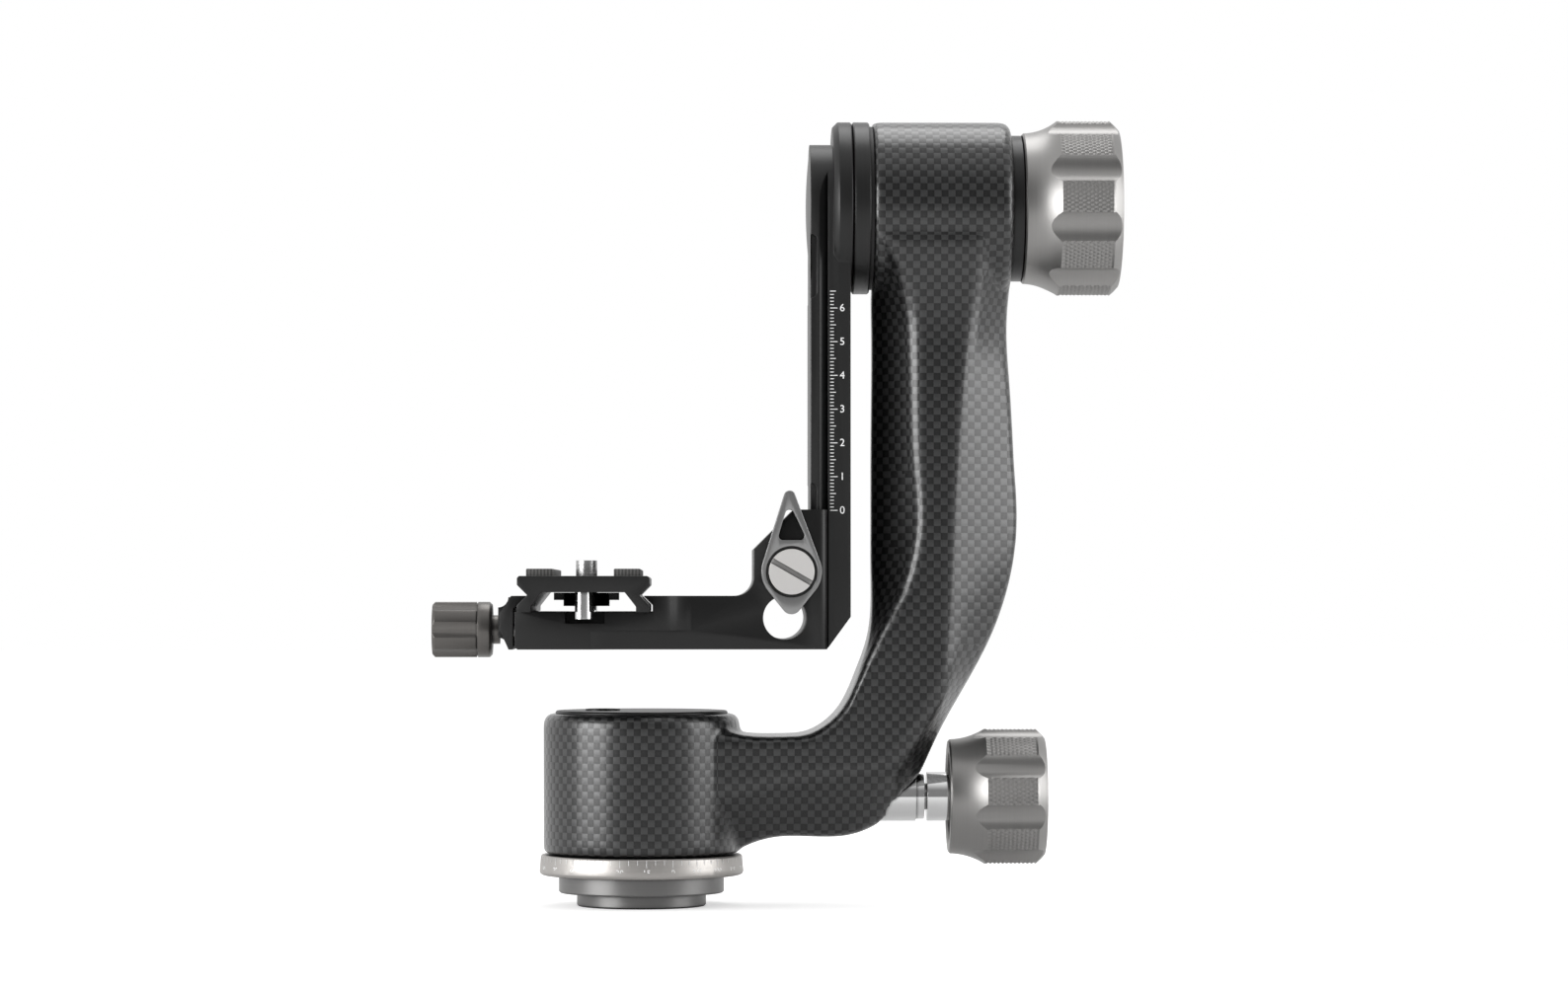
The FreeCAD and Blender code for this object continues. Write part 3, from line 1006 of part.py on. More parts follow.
for side in ("", "-"):
    where = "_far" if side else "_near"
    bracket_cuts.append(cylinder("pin_seat" + where, "X", "pin_radius + fit_gap",
                                 "pin_length - jaw_gap - jaw_wall + pin_tip",
                                 (HEAD_LEFT, side + "(-pin_spread)", SCREW_Z)))
    bracket_cuts.append(box("pin_slot" + where,
                            ("2 * slot_half", "slot_reach + 1", "slot_depth + 1"),
                            (PLATE_X + " - slot_half",
                             "-head_width / 2 - 1" if not side else "head_width / 2 - slot_reach",
                             FLOOR + " - slot_depth")))
node("platform_bracket", cut("platform_bracket", bracket_rounded, *bracket_cuts))

# Height lever, its cam screw, and the pad that the cam presses on the rail
LEVER_BACK = "(" + NEAR_FACE + " - turn_gap)"
LEVER_FRONT = "(" + LEVER_BACK + " - lever_thickness)"
RECESS_FLOOR = "(" + LEVER_FRONT + " + lever_recess_depth)"


# Plate of the lever's thickness inside a belt round circles (x, z, radius), taken anticlockwise
def belt(circles):
    leaving = []
    for index, (x, z, radius) in enumerate(circles):
        next_x, next_z, next_radius = circles[(index + 1) % len(circles)]
        reach = math.hypot(next_x - x, next_z - z)
        leaving.append(math.atan2(next_z - z, next_x - x)
                       - math.acos((radius - next_radius) / reach))
    arcs = []
    for index, (x, z, radius) in enumerate(circles):
        first = leaving[index - 1]
        last = leaving[index]
        while last < first:
            last += 2 * math.pi
        arcs.append([V(x + radius * math.cos(angle), num(LEVER_BACK), z + radius * math.sin(angle))
                     for angle in (first, (first + last) / 2, last)])
    edges = []
    for index, arc in enumerate(arcs):
        edges.append(Part.LineSegment(arcs[index - 1][2], arc[0]).toShape())
        edges.append(Part.Arc(*arc).toShape())
    return Part.Face(Part.Wire(edges)).extrude(V(0, -num("lever_thickness"), 0))


pivot_x = num(LEVER_X)
pivot_z = num(LEVER_Z)
lever_ring = (pivot_x, pivot_z, num("lever_ring"))
lever_plate = belt([
    (pivot_x, pivot_z - num("lever_tail_reach"), num("lever_tail_radius")),
    lever_ring,
    (pivot_x - num("lever_tip_side"), pivot_z + num("lever_tip_reach"), num("lever_tip_radius")),
    lever_ring])
lever_window = belt([
    (pivot_x - num("window_half"), pivot_z + num("window_low"), num("window_round")),
    (pivot_x + num("window_half"), pivot_z + num("window_low"), num("window_round")),
    (pivot_x - num("lever_tip_side"), pivot_z + num("window_high"), num("window_round"))])
lever_front = V(pivot_x, num(LEVER_FRONT), pivot_z)
lever_recess = Part.makeCylinder(num("lever_recess"), num("lever_recess_depth"), lever_front,
                                 V(0, 1, 0))
lever_bore = Part.makeCylinder(num("lever_shaft_radius + fit_gap"), num("lever_thickness"),
                               lever_front, V(0, 1, 0))
height_lever = doc.addObject("Part::Feature", "height_lever")
height_lever.Shape = lever_plate.cut([lever_window, lever_recess, lever_bore])
height_lever.Placement = FreeCAD.Placement()
node("height_lever", height_lever)

head_front = "(" + RECESS_FLOOR + " - lever_head_height)"
cosine = " * cos(lever_slot_turn)"
sine = " * sin(lever_slot_turn)"
slot_corners = []
for along, across in ((-1, -1), (1, -1), (1, 1), (-1, 1)):
    slot_corners.append((
        "%s + %d * 2 * lever_head_radius%s + %d * lever_slot_width / 2%s"
        % (LEVER_X, along, cosine, across, sine),
        "%s - %d * 2 * lever_head_radius%s + %d * lever_slot_width / 2%s"
        % (LEVER_Z, along, sine, across, cosine)))
head_slot = prism("lever_head_slot", "XZ", slot_corners, head_front + " - 1",
                  "lever_slot_depth + 1")
node("lever_cam_screw", fuse(
    "lever_cam_screw",
    cut("lever_head", cylinder("lever_head_blank", "Y", "lever_head_radius",
                               "lever_head_height", (LEVER_X, head_front, LEVER_Z)), head_slot),
    cylinder("lever_shaft", "Y", "lever_shaft_radius", "-cam_length / 2 - " + RECESS_FLOOR,
             (LEVER_X, RECESS_FLOOR, LEVER_Z)),
    cylinder("lever_journal", "Y", "lever_tip_journal", "lever_shaft_end",
             (LEVER_X, "0", LEVER_Z)),
    cylinder("lever_cam", "Y", "cam_radius", "cam_length",
             (LEVER_X + " + cam_throw", "-cam_length / 2", LEVER_Z))))
PAD_LEFT = "(" + LEVER_X + " + cam_throw + cam_radius + cam_gap)"
node("rail_brake_pad", box("rail_brake_pad", (
    RAIL_FRONT + " - guide_gap - " + PAD_LEFT, "cam_length", "pad_block_height"),
    (PAD_LEFT, "-cam_length / 2", LEVER_Z + " - pad_block_height / 2")))

# Clamp: stud and guide pins in the bracket, jaw, knob with its bush
STUD_TIP = "(" + HEAD_LEFT + " + stud_start - stud_length)"
node("clamp_stud", cylinder("clamp_stud", "X", "stud_radius", "stud_length",
                            (STUD_TIP, "0", SCREW_Z)))
PIN_TIP = "(" + JAW_LEFT + " + pin_tip)"
node("jaw_guide_pins", group("jaw_guide_pins", *[
    cylinder("jaw_guide_pin_" + side, "X", "pin_radius", "pin_length",
             (PIN_TIP, sign + "pin_spread", SCREW_Z))
    for side, sign in (("near", "-"), ("far", ""))]))
JAW_GRIP = "(" + PLATE_X + " - plate_width / 2 - grip_gap)"
JAW_BLOCK_LEFT = "(" + JAW_LEFT + " - jaw_block)"
jaw_profile = prism("jaw_profile", "XZ", [
    (JAW_RIGHT, RAIL_BOTTOM),
    (JAW_RIGHT, FOOT_CORNER + " - " + JAW_GRIP + " + " + JAW_RIGHT),
    (JAW_GRIP + " + " + LIP_TOP + " - " + FOOT_CORNER, LIP_TOP),
    (JAW_GRIP + " + " + LIP_TOP + " - " + FOOT_CORNER + " - jaw_top_width", LIP_TOP),
    (JAW_LEFT, RAIL_BOTTOM + " + jaw_shoulder"),
    (JAW_LEFT, RAIL_BOTTOM + " + jaw_waist"),
    (JAW_RIGHT + " - jaw_wall / 3", RAIL_BOTTOM)], "-jaw_width / 2", "jaw_width")
jaw_block = prism("jaw_block", "XZ", [
    (JAW_RIGHT, RAIL_BOTTOM + " + edge_break"),
    (JAW_RIGHT, LIP_TOP + " - 2 * jaw_block_round"),
    (JAW_RIGHT, LIP_TOP + " - edge_break"),
    (JAW_BLOCK_LEFT + " + jaw_block_round", LIP_TOP + " - edge_break", "jaw_block_round", 1),
    (JAW_BLOCK_LEFT, LIP_TOP + " - edge_break - jaw_block_round"),
    (JAW_BLOCK_LEFT, RAIL_BOTTOM + " + edge_break + jaw_block_round", "jaw_block_round", 1),
    (JAW_BLOCK_LEFT + " + jaw_block_round", RAIL_BOTTOM + " + edge_break")],
    "-jaw_block_half", "2 * jaw_block_half")
jaw_holes = [cylinder("jaw_stud_way", "X", "stud_radius + 2 * slide_gap", "4 * jaw_wall",
                      (JAW_LEFT + " - 2 * jaw_wall", "0", SCREW_Z))]
for side, sign in (("near", "-"), ("far", "")):
    jaw_holes.append(cylinder("jaw_pin_way_" + side, "X", "pin_radius + slide_gap",
                              "4 * jaw_wall", (JAW_LEFT + " - jaw_wall / 4",
                                               sign + "pin_spread", SCREW_Z)))
node("clamp_jaw", cut("clamp_jaw", fuse("jaw_blank", jaw_profile, jaw_block), *jaw_holes))
KNOB_RIGHT = "(" + JAW_LEFT + " - knob_stand)"
KNOB_LEFT = "(" + KNOB_RIGHT + " - clamp_knob_length)"
BUSH_LEFT = "(" + KNOB_RIGHT + " - clamp_bush_depth)"
clamp_knob_body = turned("clamp_knob_turned", "X", [
    (KNOB_LEFT, "0"),
    (KNOB_LEFT, "clamp_knob_radius - 2 * edge_break"),
    (KNOB_LEFT + " + 2 * edge_break", "clamp_knob_radius"),
    (KNOB_RIGHT + " - clamp_knob_round - edge_break", "clamp_knob_radius"),
    (KNOB_RIGHT + " - clamp_knob_round - edge_break", "clamp_knob_radius - edge_break"),
    (KNOB_RIGHT + " - clamp_knob_round", "clamp_knob_radius - edge_break"),
    (KNOB_RIGHT + " - clamp_knob_round", "clamp_knob_radius"),
    (KNOB_RIGHT + " - 2 * edge_break", "clamp_knob_radius"),
    (KNOB_RIGHT, "clamp_knob_radius - 2 * edge_break"),
    (KNOB_RIGHT, "knob_collar_radius + fit_gap"),
    (BUSH_LEFT, "knob_collar_radius + fit_gap"),
    (BUSH_LEFT, "stud_radius + 2 * slide_gap"),
    (KNOB_RIGHT + " - clamp_bore_depth", "stud_radius + 2 * slide_gap"),
    (KNOB_RIGHT + " - clamp_bore_depth", "0")], ("0", "0", SCREW_Z))
knob_flats = [cylinder("clamp_knob_flat_%d" % index, "X", "clamp_knob_flat_radius",
                       "clamp_knob_length - clamp_knob_round",
                       (KNOB_LEFT, across, SCREW_Z + " + " + up))
              for index, (across, up) in enumerate(around(
                  "clamp_knob_flats",
                  "(clamp_knob_radius - clamp_knob_flat_cut + clamp_knob_flat_radius)"))]
node("clamp_knob", cut("clamp_knob", clamp_knob_body, *knob_flats))
node("clamp_knob_bush", ring("clamp_knob_bush", "X", "stud_radius + slide_gap",
                             "knob_collar_radius", BUSH_LEFT, JAW_BLOCK_LEFT,
                             ("0", "0", SCREW_Z)))

# Quick-release plate with its pads, stop pins and camera screw
plate_half = [
    ("channel_half", FLOOR),
    ("plate_width / 2", FLOOR),
    ("plate_width / 2", FOOT_CORNER),
    ("plate_width / 2 - plate_neck", FOOT_CORNER + " + plate_neck"),
    ("plate_width / 2", FOOT_CORNER + " + 2 * plate_neck"),
    ("plate_width / 2", PLATE_TOP + " - plate_chamfer"),
    ("plate_width / 2 - plate_chamfer", PLATE_TOP)]
plate_channel = [
    ("channel_top", CHANNEL_ROOF),
    ("channel_half", FLOOR + " + channel_rise")]
right_side = [(PLATE_X + " + " + x, z) for x, z in plate_channel + plate_half]
left_side = [(PLATE_X + " - (" + x + ")", z) for x, z in reversed(plate_channel + plate_half)]
plate_profile = prism("plate_profile", "XZ", right_side + left_side, "-plate_length / 2",
                      "plate_length")
plate_cuts = [cylinder("camera_screw_way", "Z", "camera_thread_radius + slide_gap",
                       "2 * channel_height", (PLATE_X, "0", FLOOR + " + channel_rise"))]
pads = []
pins = []
for side, sign in (("low", "-"), ("high", "+")):
    pad_x = PLATE_X + " " + sign + " pad_spread - pad_width / 2"
    pad_length = "plate_length - 2 * pad_margin"
    pad_y = "pad_margin - plate_length / 2"
    plate_cuts.append(box("pad_groove_" + side,
                          ("pad_width", pad_length, "pad_seat + 1"),
                          (pad_x, pad_y, PLATE_TOP + " - pad_seat")))
    pads.append(box("pad_" + side,
                    ("pad_width - 2 * fit_gap", pad_length + " - 2 * fit_gap",
                     "pad_seat + pad_height"),
                    (pad_x + " + fit_gap", pad_y + " + fit_gap", PLATE_TOP + " - pad_seat")))
    pin_y = sign + "(plate_length / 2 - stop_pin_inset)"
    plate_cuts.append(cylinder("stop_pin_seat_" + side, "Z", "stop_pin_radius + fit_gap",
                               "stop_pin_seat", (PLATE_X, pin_y, CHANNEL_ROOF)))
    pins.append(cylinder("stop_pin_" + side, "Z", "stop_pin_radius",
                         "stop_pin_drop + channel_height + stop_pin_seat",
                         (PLATE_X, pin_y, FLOOR + " - stop_pin_drop")))
node("quick_plate", cut("quick_plate", plate_profile, *plate_cuts))
node("plate_pads", group("plate_pads", *pads))
node("plate_stop_pins", group("plate_stop_pins", *pins))
HEAD_TOP = "(" + CHANNEL_ROOF + " - camera_head_gap)"
node("camera_screw", fuse(
    "camera_screw",
    cylinder("camera_thread", "Z", "camera_thread_radius", "camera_screw_stand",
             (PLATE_X, "0", PLATE_TOP)),
    cylinder("camera_screw_neck", "Z", "camera_neck_radius",
             PLATE_TOP + " - " + HEAD_TOP + " + 2", (PLATE_X, "0", HEAD_TOP + " - 1")),
    cylinder("camera_head", "Z", "camera_head_radius", "camera_head_height",
             (PLATE_X, "0", HEAD_TOP + " - camera_head_height")),
    box("camera_head_stubs", ("2 * camera_stub", "camera_stub_width", "camera_stub_height"),
        (PLATE_X + " - camera_stub", "-camera_stub_width / 2",
         HEAD_TOP + " - camera_stub_height"))))

doc.recompute()
faults = []
for thing in doc.Objects:
    if "Invalid" in thing.State or "Error" in thing.State:
        faults.append("%s is %s" % (thing.Label, thing.State))
for thing in nodes:
    if thing.Shape.isNull() or not thing.Shape.isValid():
        faults.append(thing.Label + " has no valid shape")
if faults:
    raise RuntimeError("; ".join(faults))

os.makedirs("parts", exist_ok=True)
for thing in nodes:
    thing.Shape.exportStep("parts/" + thing.Label + ".step")
    print("%-26s %2d solids %10.1f mm3" % (thing.Label, len(thing.Shape.Solids),
                                           thing.Shape.Volume))
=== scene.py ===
import json
import math

import bpy
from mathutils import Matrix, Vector


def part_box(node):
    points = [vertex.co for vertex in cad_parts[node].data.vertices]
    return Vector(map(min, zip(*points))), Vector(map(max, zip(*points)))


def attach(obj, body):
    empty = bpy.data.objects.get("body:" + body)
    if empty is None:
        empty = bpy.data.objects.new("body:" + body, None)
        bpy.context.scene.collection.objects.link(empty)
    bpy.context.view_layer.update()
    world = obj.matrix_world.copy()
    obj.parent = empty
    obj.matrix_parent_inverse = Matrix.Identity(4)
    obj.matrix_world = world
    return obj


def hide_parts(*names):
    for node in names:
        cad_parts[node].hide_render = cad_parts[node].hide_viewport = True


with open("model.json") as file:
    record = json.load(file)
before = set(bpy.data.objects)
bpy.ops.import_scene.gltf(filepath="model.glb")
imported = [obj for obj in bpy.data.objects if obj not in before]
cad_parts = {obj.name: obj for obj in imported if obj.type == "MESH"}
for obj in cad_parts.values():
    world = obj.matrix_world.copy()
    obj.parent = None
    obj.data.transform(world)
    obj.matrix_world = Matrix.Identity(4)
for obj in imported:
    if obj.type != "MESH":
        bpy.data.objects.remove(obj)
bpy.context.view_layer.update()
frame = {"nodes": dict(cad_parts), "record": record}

# Sizes in metres, in the frame of the CAD model
MM = 0.001
TILT_HEIGHT = 0.209
PAN_LOCK_HEIGHT = 0.0325
LOWER_HUB_RADIUS = 0.0293
UPPER_HUB_RADIUS = 0.0258
WEAVE_CELL = 2.06 * MM
EDGE_ROUND = 0.25 * MM
# Reach of the painted shade that darkens gaps and corners on metal
PAINTED_SHADE_REACH = 1.0 * MM
PAINT_LIFT = 0.03 * MM
FULL_TURN = 2 * math.pi
BODY_OF = {node: body for body, nodes in frame["record"]["behaviour"]["bodies"].items()
           for node in nodes}
SLOT_OF = {subpart["node"]: subpart["material_slot"] for subpart in frame["record"]["subparts"]}


class Value:
    """A socket of a finish being mixed; arithmetic on it adds Math nodes."""

    def __init__(self, finish, socket):
        self.finish = finish
        self.socket = socket

    def math(self, operation, first, second=0.0):
        return self.finish.node("ShaderNodeMath", {"operation": operation}, {0: first, 1: second})

    def __add__(self, other):
        return self.math("ADD", self, other)

    def __radd__(self, other):
        return self.math("ADD", other, self)

    def __sub__(self, other):
        return self.math("SUBTRACT", self, other)

    def __rsub__(self, other):
        return self.math("SUBTRACT", other, self)

    def __mul__(self, other):
        return self.math("MULTIPLY", self, other)

    def __rmul__(self, other):
        return self.math("MULTIPLY", other, self)

    def __truediv__(self, other):
        return self.math("DIVIDE", self, other)

    def __gt__(self, other):
        return self.math("GREATER_THAN", self, other)

    def __lt__(self, other):
        return self.math("LESS_THAN", self, other)

    def of(self, operation, other=0.0):
        return self.math(operation, self, other)

    def choose(self, when_one, when_zero):
        return self * when_one + (1 - self) * when_zero


class Finish:
    """A material or world while its nodes are laid."""

    def __init__(self, block):
        self.block = block
        block.use_nodes = True
        self.tree = block.node_tree
        self.tree.nodes.clear()

    def node(self, kind, settings=None, inputs=None, output=0):
        made = self.tree.nodes.new(kind)
        for setting, value in (settings or {}).items():
            setattr(made, setting, value)
        for name, value in (inputs or {}).items():
            if isinstance(value, Value):
                self.tree.links.new(value.socket, made.inputs[name])
            else:
                made.inputs[name].default_value = value
        return Value(self, made.outputs[output])

    def mix(self, factor, first, second):
        return self.node("ShaderNodeMix", {"data_type": "RGBA"},
                         {0: factor, 6: first, 7: second}, output=2)

    def place(self, stretch=(1, 1, 1)):
        spot = self.node("ShaderNodeTexCoord", output="Object")
        return self.node("ShaderNodeMapping", None, {"Vector": spot, "Scale": stretch})

    def noise(self, stretch, scale=1.0, detail=3.0):
        return self.node("ShaderNodeTexNoise", None,
                         {"Vector": self.place(stretch), "Scale": scale, "Detail": detail})

    def parts(self, vector):
        split = self.node("ShaderNodeSeparateXYZ", None, {0: vector})
        outlets = split.socket.node.outputs
        return Value(self, outlets[0]), Value(self, outlets[1]), Value(self, outlets[2])

    def edges(self, radius):
        return self.node("ShaderNodeBevel", {"samples": 4}, {"Radius": radius})

    def bump(self, height, strength, distance, rounding):
        inputs = {"Strength": strength, "Distance": distance, "Height": height}
        if rounding:
            inputs["Normal"] = self.edges(rounding)
        return self.node("ShaderNodeBump", None, inputs)

    def surface(self, **inputs):
        named = {name.replace("_", " "): value for name, value in inputs.items()}
        shader = self.node("ShaderNodeBsdfPrincipled", None, named)
        self.node_output(shader)
        return self.block

    def node_output(self, shader, kind="ShaderNodeOutputMaterial"):
        made = self.tree.nodes.new(kind)
        self.tree.links.new(shader.socket, made.inputs["Surface"])


def grey(level, warmth=0.0):
    return (level * (1 + warmth), level, level * (1 - warmth), 1.0)


# Waves per metre of a finish's patches, and of its grain along X, Y and Z
PATCHES = 45
ROUND_X = (3200, 25, 25)
ROUND_Z = (25, 25, 3200)
BLASTED = (5200, 5200, 5200)
# The grain's share in a metal's colour, and the painted shade that darkens its narrow gaps
GRAIN_SHARE = 0.6
PAINTED_SHADE_FALL = 2.0
PAINTED_SHADE_LEVEL = 0.08


# Metal with a turned or blasted grain, with painted shade darkening gaps narrower than its shade
# reach
def metal(name, dark, light, metallic, roughness, stretch, depth, warmth=0.0,
          rounding=EDGE_ROUND, shade_reach=PAINTED_SHADE_REACH):
    finish = Finish(bpy.data.materials.new(name))
    grain = finish.noise(stretch)
    patches = finish.noise((PATCHES, PATCHES, PATCHES))
    shade = grain * GRAIN_SHARE + patches * (1 - GRAIN_SHARE)
    bare = finish.mix(shade, grey(dark, warmth), grey(light, warmth))
    # Painted shade: ambient occlusion darkens the colour in gaps and corners, where shade falls
    ao_for_painted_shade = finish.node("ShaderNodeAmbientOcclusion", {"samples": 6},
                           {"Distance": shade_reach}, output="AO")
    colour = finish.mix(ao_for_painted_shade.of("POWER", PAINTED_SHADE_FALL), grey(PAINTED_SHADE_LEVEL * dark), bare)
    return finish.surface(
        Base_Color=colour, Metallic=metallic,
        Roughness=roughness + (grain - 0.5) * 0.1 + (patches - 0.5) * 0.06,
        Normal=finish.bump(grain, 0.5, depth, rounding))


black_satin = metal("black_satin_anodised", 0.007, 0.015, 0.25, 0.36, BLASTED, 0.008 * MM)
black_turned = metal("black_turned_anodised", 0.008, 0.02, 0.3, 0.32, ROUND_X, 0.006 * MM)
grey_turned = metal("dark_grey_turned_base", 0.17, 0.24, 0.8, 0.34, ROUND_Z, 0.005 * MM, 0.01)
champagne = metal("champagne_anodised", 0.42, 0.50, 0.9, 0.40, ROUND_Z, 0.004 * MM, 0.04)
titanium = metal("titanium_grey_anodised", 0.27, 0.34, 1.0, 0.38, ROUND_X, 0.003 * MM, 0.02,
                 rounding=0)
gunmetal = metal("warm_gunmetal_anodised", 0.11, 0.15, 0.9, 0.32, ROUND_X, 0.004 * MM, 0.05)
blasted_steel = metal("blasted_grey_steel", 0.30, 0.38, 0.9, 0.33, BLASTED, 0.012 * MM)
# The slotted screw's painted shade reaches far enough to paint its slot dark
screw_steel = metal("slotted_screw_steel", 0.66, 0.76, 0.6, 0.40, BLASTED, 0.003 * MM, 0.02,
                    shade_reach=3 * MM)
bright_steel = metal("machined_steel", 0.60, 0.72, 1.0, 0.24, ROUND_Z, 0.004 * MM, 0.02,
                     shade_reach=0.3 * MM)
chrome = metal("polished_chrome", 0.78, 0.84, 1.0, 0.07, ROUND_X, 0.001 * MM)
brass = metal("machined_brass", 0.55, 0.62, 1.0, 0.28, ROUND_X, 0.005 * MM, 0.25)


def moulded(name, dark, light, roughness, stretch, depth):
    finish = Finish(bpy.data.materials.new(name))
    grain = finish.noise(stretch)
    return finish.surface(
        Base_Color=finish.mix(grain, grey(dark), grey(light)), Metallic=0.0,
        Roughness=roughness + (grain - 0.5) * 0.2,
        Normal=finish.bump(grain, 0.6, depth, EDGE_ROUND))


plastic = moulded("black_moulded_plastic", 0.006, 0.014, 0.55, (2200, 2200, 2200), 0.01 * MM)


# Rubber strip with fine ribs along its length
def ribbed_rubber():
    rib_pitch = 0.98 * MM
    finish = Finish(bpy.data.materials.new("ribbed_rubber"))
    across, _, _ = finish.parts(finish.place())
    rib = (across * (FULL_TURN / rib_pitch)).of("SINE") * 0.5 + 0.5
    speckle = finish.noise((3000, 3000, 3000))
    height = rib + speckle * 0.25
    # Painted highlight and shade: each rib is painted lighter on its crest and darker in its
    # valley
    return finish.surface(
        Base_Color=finish.mix(rib, grey(0.03, 0.03), grey(0.09, 0.03)), Metallic=0.0,
        Roughness=0.62 + (speckle - 0.5) * 0.2,
        Normal=finish.bump(height, 0.4, 0.15 * MM, EDGE_ROUND))


rubber = ribbed_rubber()


def marking_paint():
    finish = Finish(bpy.data.materials.new("white_marking_paint"))
    wear = finish.noise((1500, 1500, 1500))
    return finish.surface(Base_Color=finish.mix(wear, grey(0.82), grey(0.95)), Metallic=0.0,
                          Roughness=0.55 + (wear - 0.5) * 0.2)


paint = marking_paint()


# Plain-woven carbon under lacquer: the cloth lies flat on the limb and wraps round both hubs
def woven_carbon():
    lower_rim = LOWER_HUB_RADIUS + 0.8 * MM
    upper_rim = UPPER_HUB_RADIUS + 0.5 * MM
    end_face = 0.8
    side_face = 0.75
    fibres_in_yarn = 9
    finish = Finish(bpy.data.materials.new("woven_carbon_lacquered"))
    x, y, z = finish.parts(finish.place())
    facing = finish.node("ShaderNodeTexCoord", output="Normal")
    east, _, up = finish.parts(facing)
    rise = z - TILT_HEIGHT
    pan_reach = (x * x + y * y).of("SQRT")
    tilt_reach = (y * y + rise * rise).of("SQRT")
    on_lower = (pan_reach < lower_rim) * (up.of("ABSOLUTE") < end_face)
    on_upper = (tilt_reach < upper_rim) * (east.of("ABSOLUTE") < end_face)
    on_side = east.of("ABSOLUTE") > side_face
    on_top = up.of("ABSOLUTE") > end_face
    round_pan = x.of("ARCTAN2", 0 - y) * LOWER_HUB_RADIUS
    round_tilt = y.of("ARCTAN2", rise) * UPPER_HUB_RADIUS
    weft_place = on_lower.choose(round_pan, on_side.choose(y, x)) / WEAVE_CELL
    warp_place = on_upper.choose(round_tilt, on_top.choose(y, z)) / WEAVE_CELL
    weft = weft_place.of("FRACT") - 0.5
    warp = warp_place.of("FRACT") - 0.5
    over = (weft_place.of("FLOOR") + warp_place.of("FLOOR")).of("FLOORED_MODULO", 2.0)
    across = over.choose(weft, warp)
    along = over.choose(warp, weft)
    crown = (1 - (across * 2).of("POWER", 2.0) * 0.5) * (along * math.pi).of("COSINE")
    fibres = (across * (FULL_TURN * fibres_in_yarn)).of("SINE") * 0.5 + 0.5
    blotch = finish.noise((90, 90, 90))
    # Painted sheen: yarns lying one way are painted lighter than those lying across, and each
    # yarn lighter on its crown, as light falls on the weave; the fibre lines and blotches are the
    # cloth's own tone
    light = over * 0.72 + fibres * 0.07 + crown * 0.12 + (blotch - 0.5) * 0.14
    colour = finish.mix(light, grey(0.001), grey(0.055, -0.01))
    height = crown + fibres * 0.06
    return finish.surface(
        Base_Color=colour, Metallic=0.6, Roughness=0.44 - over * 0.06 + (blotch - 0.5) * 0.1,
        Coat_Weight=0.8, Coat_Roughness=0.2,
        Normal=finish.bump(height, 0.55, 0.12 * MM, 0.4 * MM))


carbon = woven_carbon()


# Vial seen from above: green fluid, a black ring and the bubble inside it
def level_fluid():
    ring_inside = 2.1 * MM
    ring_outside = 2.4 * MM
    bubble_radius = 1.5 * MM
    bubble_shift = 0.3 * MM
    finish = Finish(bpy.data.materials.new("level_fluid"))
    low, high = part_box("level_vial")
    centre = (low + high) / 2
    x, y, _ = finish.parts(finish.place())
    along = x - centre.x
    reach = (along * along + y * y).of("SQRT")
    ring = (reach > ring_inside) * (reach < ring_outside)
    off = along - bubble_shift
    bubble = (off * off + y * y).of("SQRT") < bubble_radius
    depth = finish.noise((300, 300, 300))
    fluid = finish.mix(depth, (0.30, 0.52, 0.08, 1), (0.42, 0.66, 0.14, 1))
    with_bubble = finish.mix(bubble * 0.75, fluid, (0.75, 0.9, 0.5, 1))
    return finish.surface(Base_Color=finish.mix(ring, with_bubble, grey(0.01)), Metallic=0.0,
                          Roughness=0.12 + (depth - 0.5) * 0.05, Coat_Weight=0.8)


fluid = level_fluid()


# Camera screw: bare steel above the plate, black below it
def half_black_screw():
    finish = Finish(bpy.data.materials.new("half_black_screw_steel"))
    low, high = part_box("quick_plate")
    _, _, z = finish.parts(finish.place())
    bare = z > high.z
    grain = finish.noise(ROUND_Z)
    steel = finish.mix(grain, grey(0.5), grey(0.62))
    return finish.surface(
        Base_Color=finish.mix(bare, grey(0.01), steel), Metallic=0.3 + bare * 0.7,
        Roughness=0.3 + (grain - 0.5) * 0.1,
        Normal=finish.bump(grain, 0.5, 0.004 * MM, EDGE_ROUND))


FINISH_OF = {
    "black_aluminium": black_satin, "champagne_aluminium": champagne,
    "titanium_grey": titanium, "dark_grey_aluminium": gunmetal, "grey_steel": blasted_steel,
    "steel": bright_steel, "chrome": chrome, "brass": brass, "black_plastic": plastic,
    "rubber": rubber, "carbon_fibre": carbon, "level_fluid": fluid}


def paint_piece(piece, material):
    piece.data.materials.clear()
    piece.data.materials.append(material)
    for face in piece.data.polygons:
        face.material_index = 0


# Pieces that look different from the rest of their slot
SPECIAL = {"base_plate": grey_turned, "tilt_flange": black_turned, "pivot_cover": black_turned,
           "knob_spacer_ring": black_turned, "hub_cap": black_satin,
           "camera_screw": half_black_screw(), "plate_stop_pins": chrome,
           "rail_stop_screw": black_satin, "lever_cam_screw": screw_steel}
for node, cad in frame["nodes"].items():
    material = SPECIAL.get(node, FINISH_OF[SLOT_OF[node]])
    for index in range(len(cad.material_slots)):
        cad.material_slots[index].material = material


def only(piece):
    bpy.ops.object.select_all(action="DESELECT")
    piece.select_set(True)
    bpy.context.view_layer.objects.active = piece


def apply(piece, kind, **settings):
    only(piece)
    step = piece.modifiers.new("step", kind)
    for setting, value in settings.items():
        setattr(step, setting, value)
    bpy.ops.object.modifier_apply(modifier=step.name)


def edit(piece):
    only(piece)
    bpy.ops.object.mode_set(mode="EDIT")
    bpy.ops.mesh.select_all(action="SELECT")


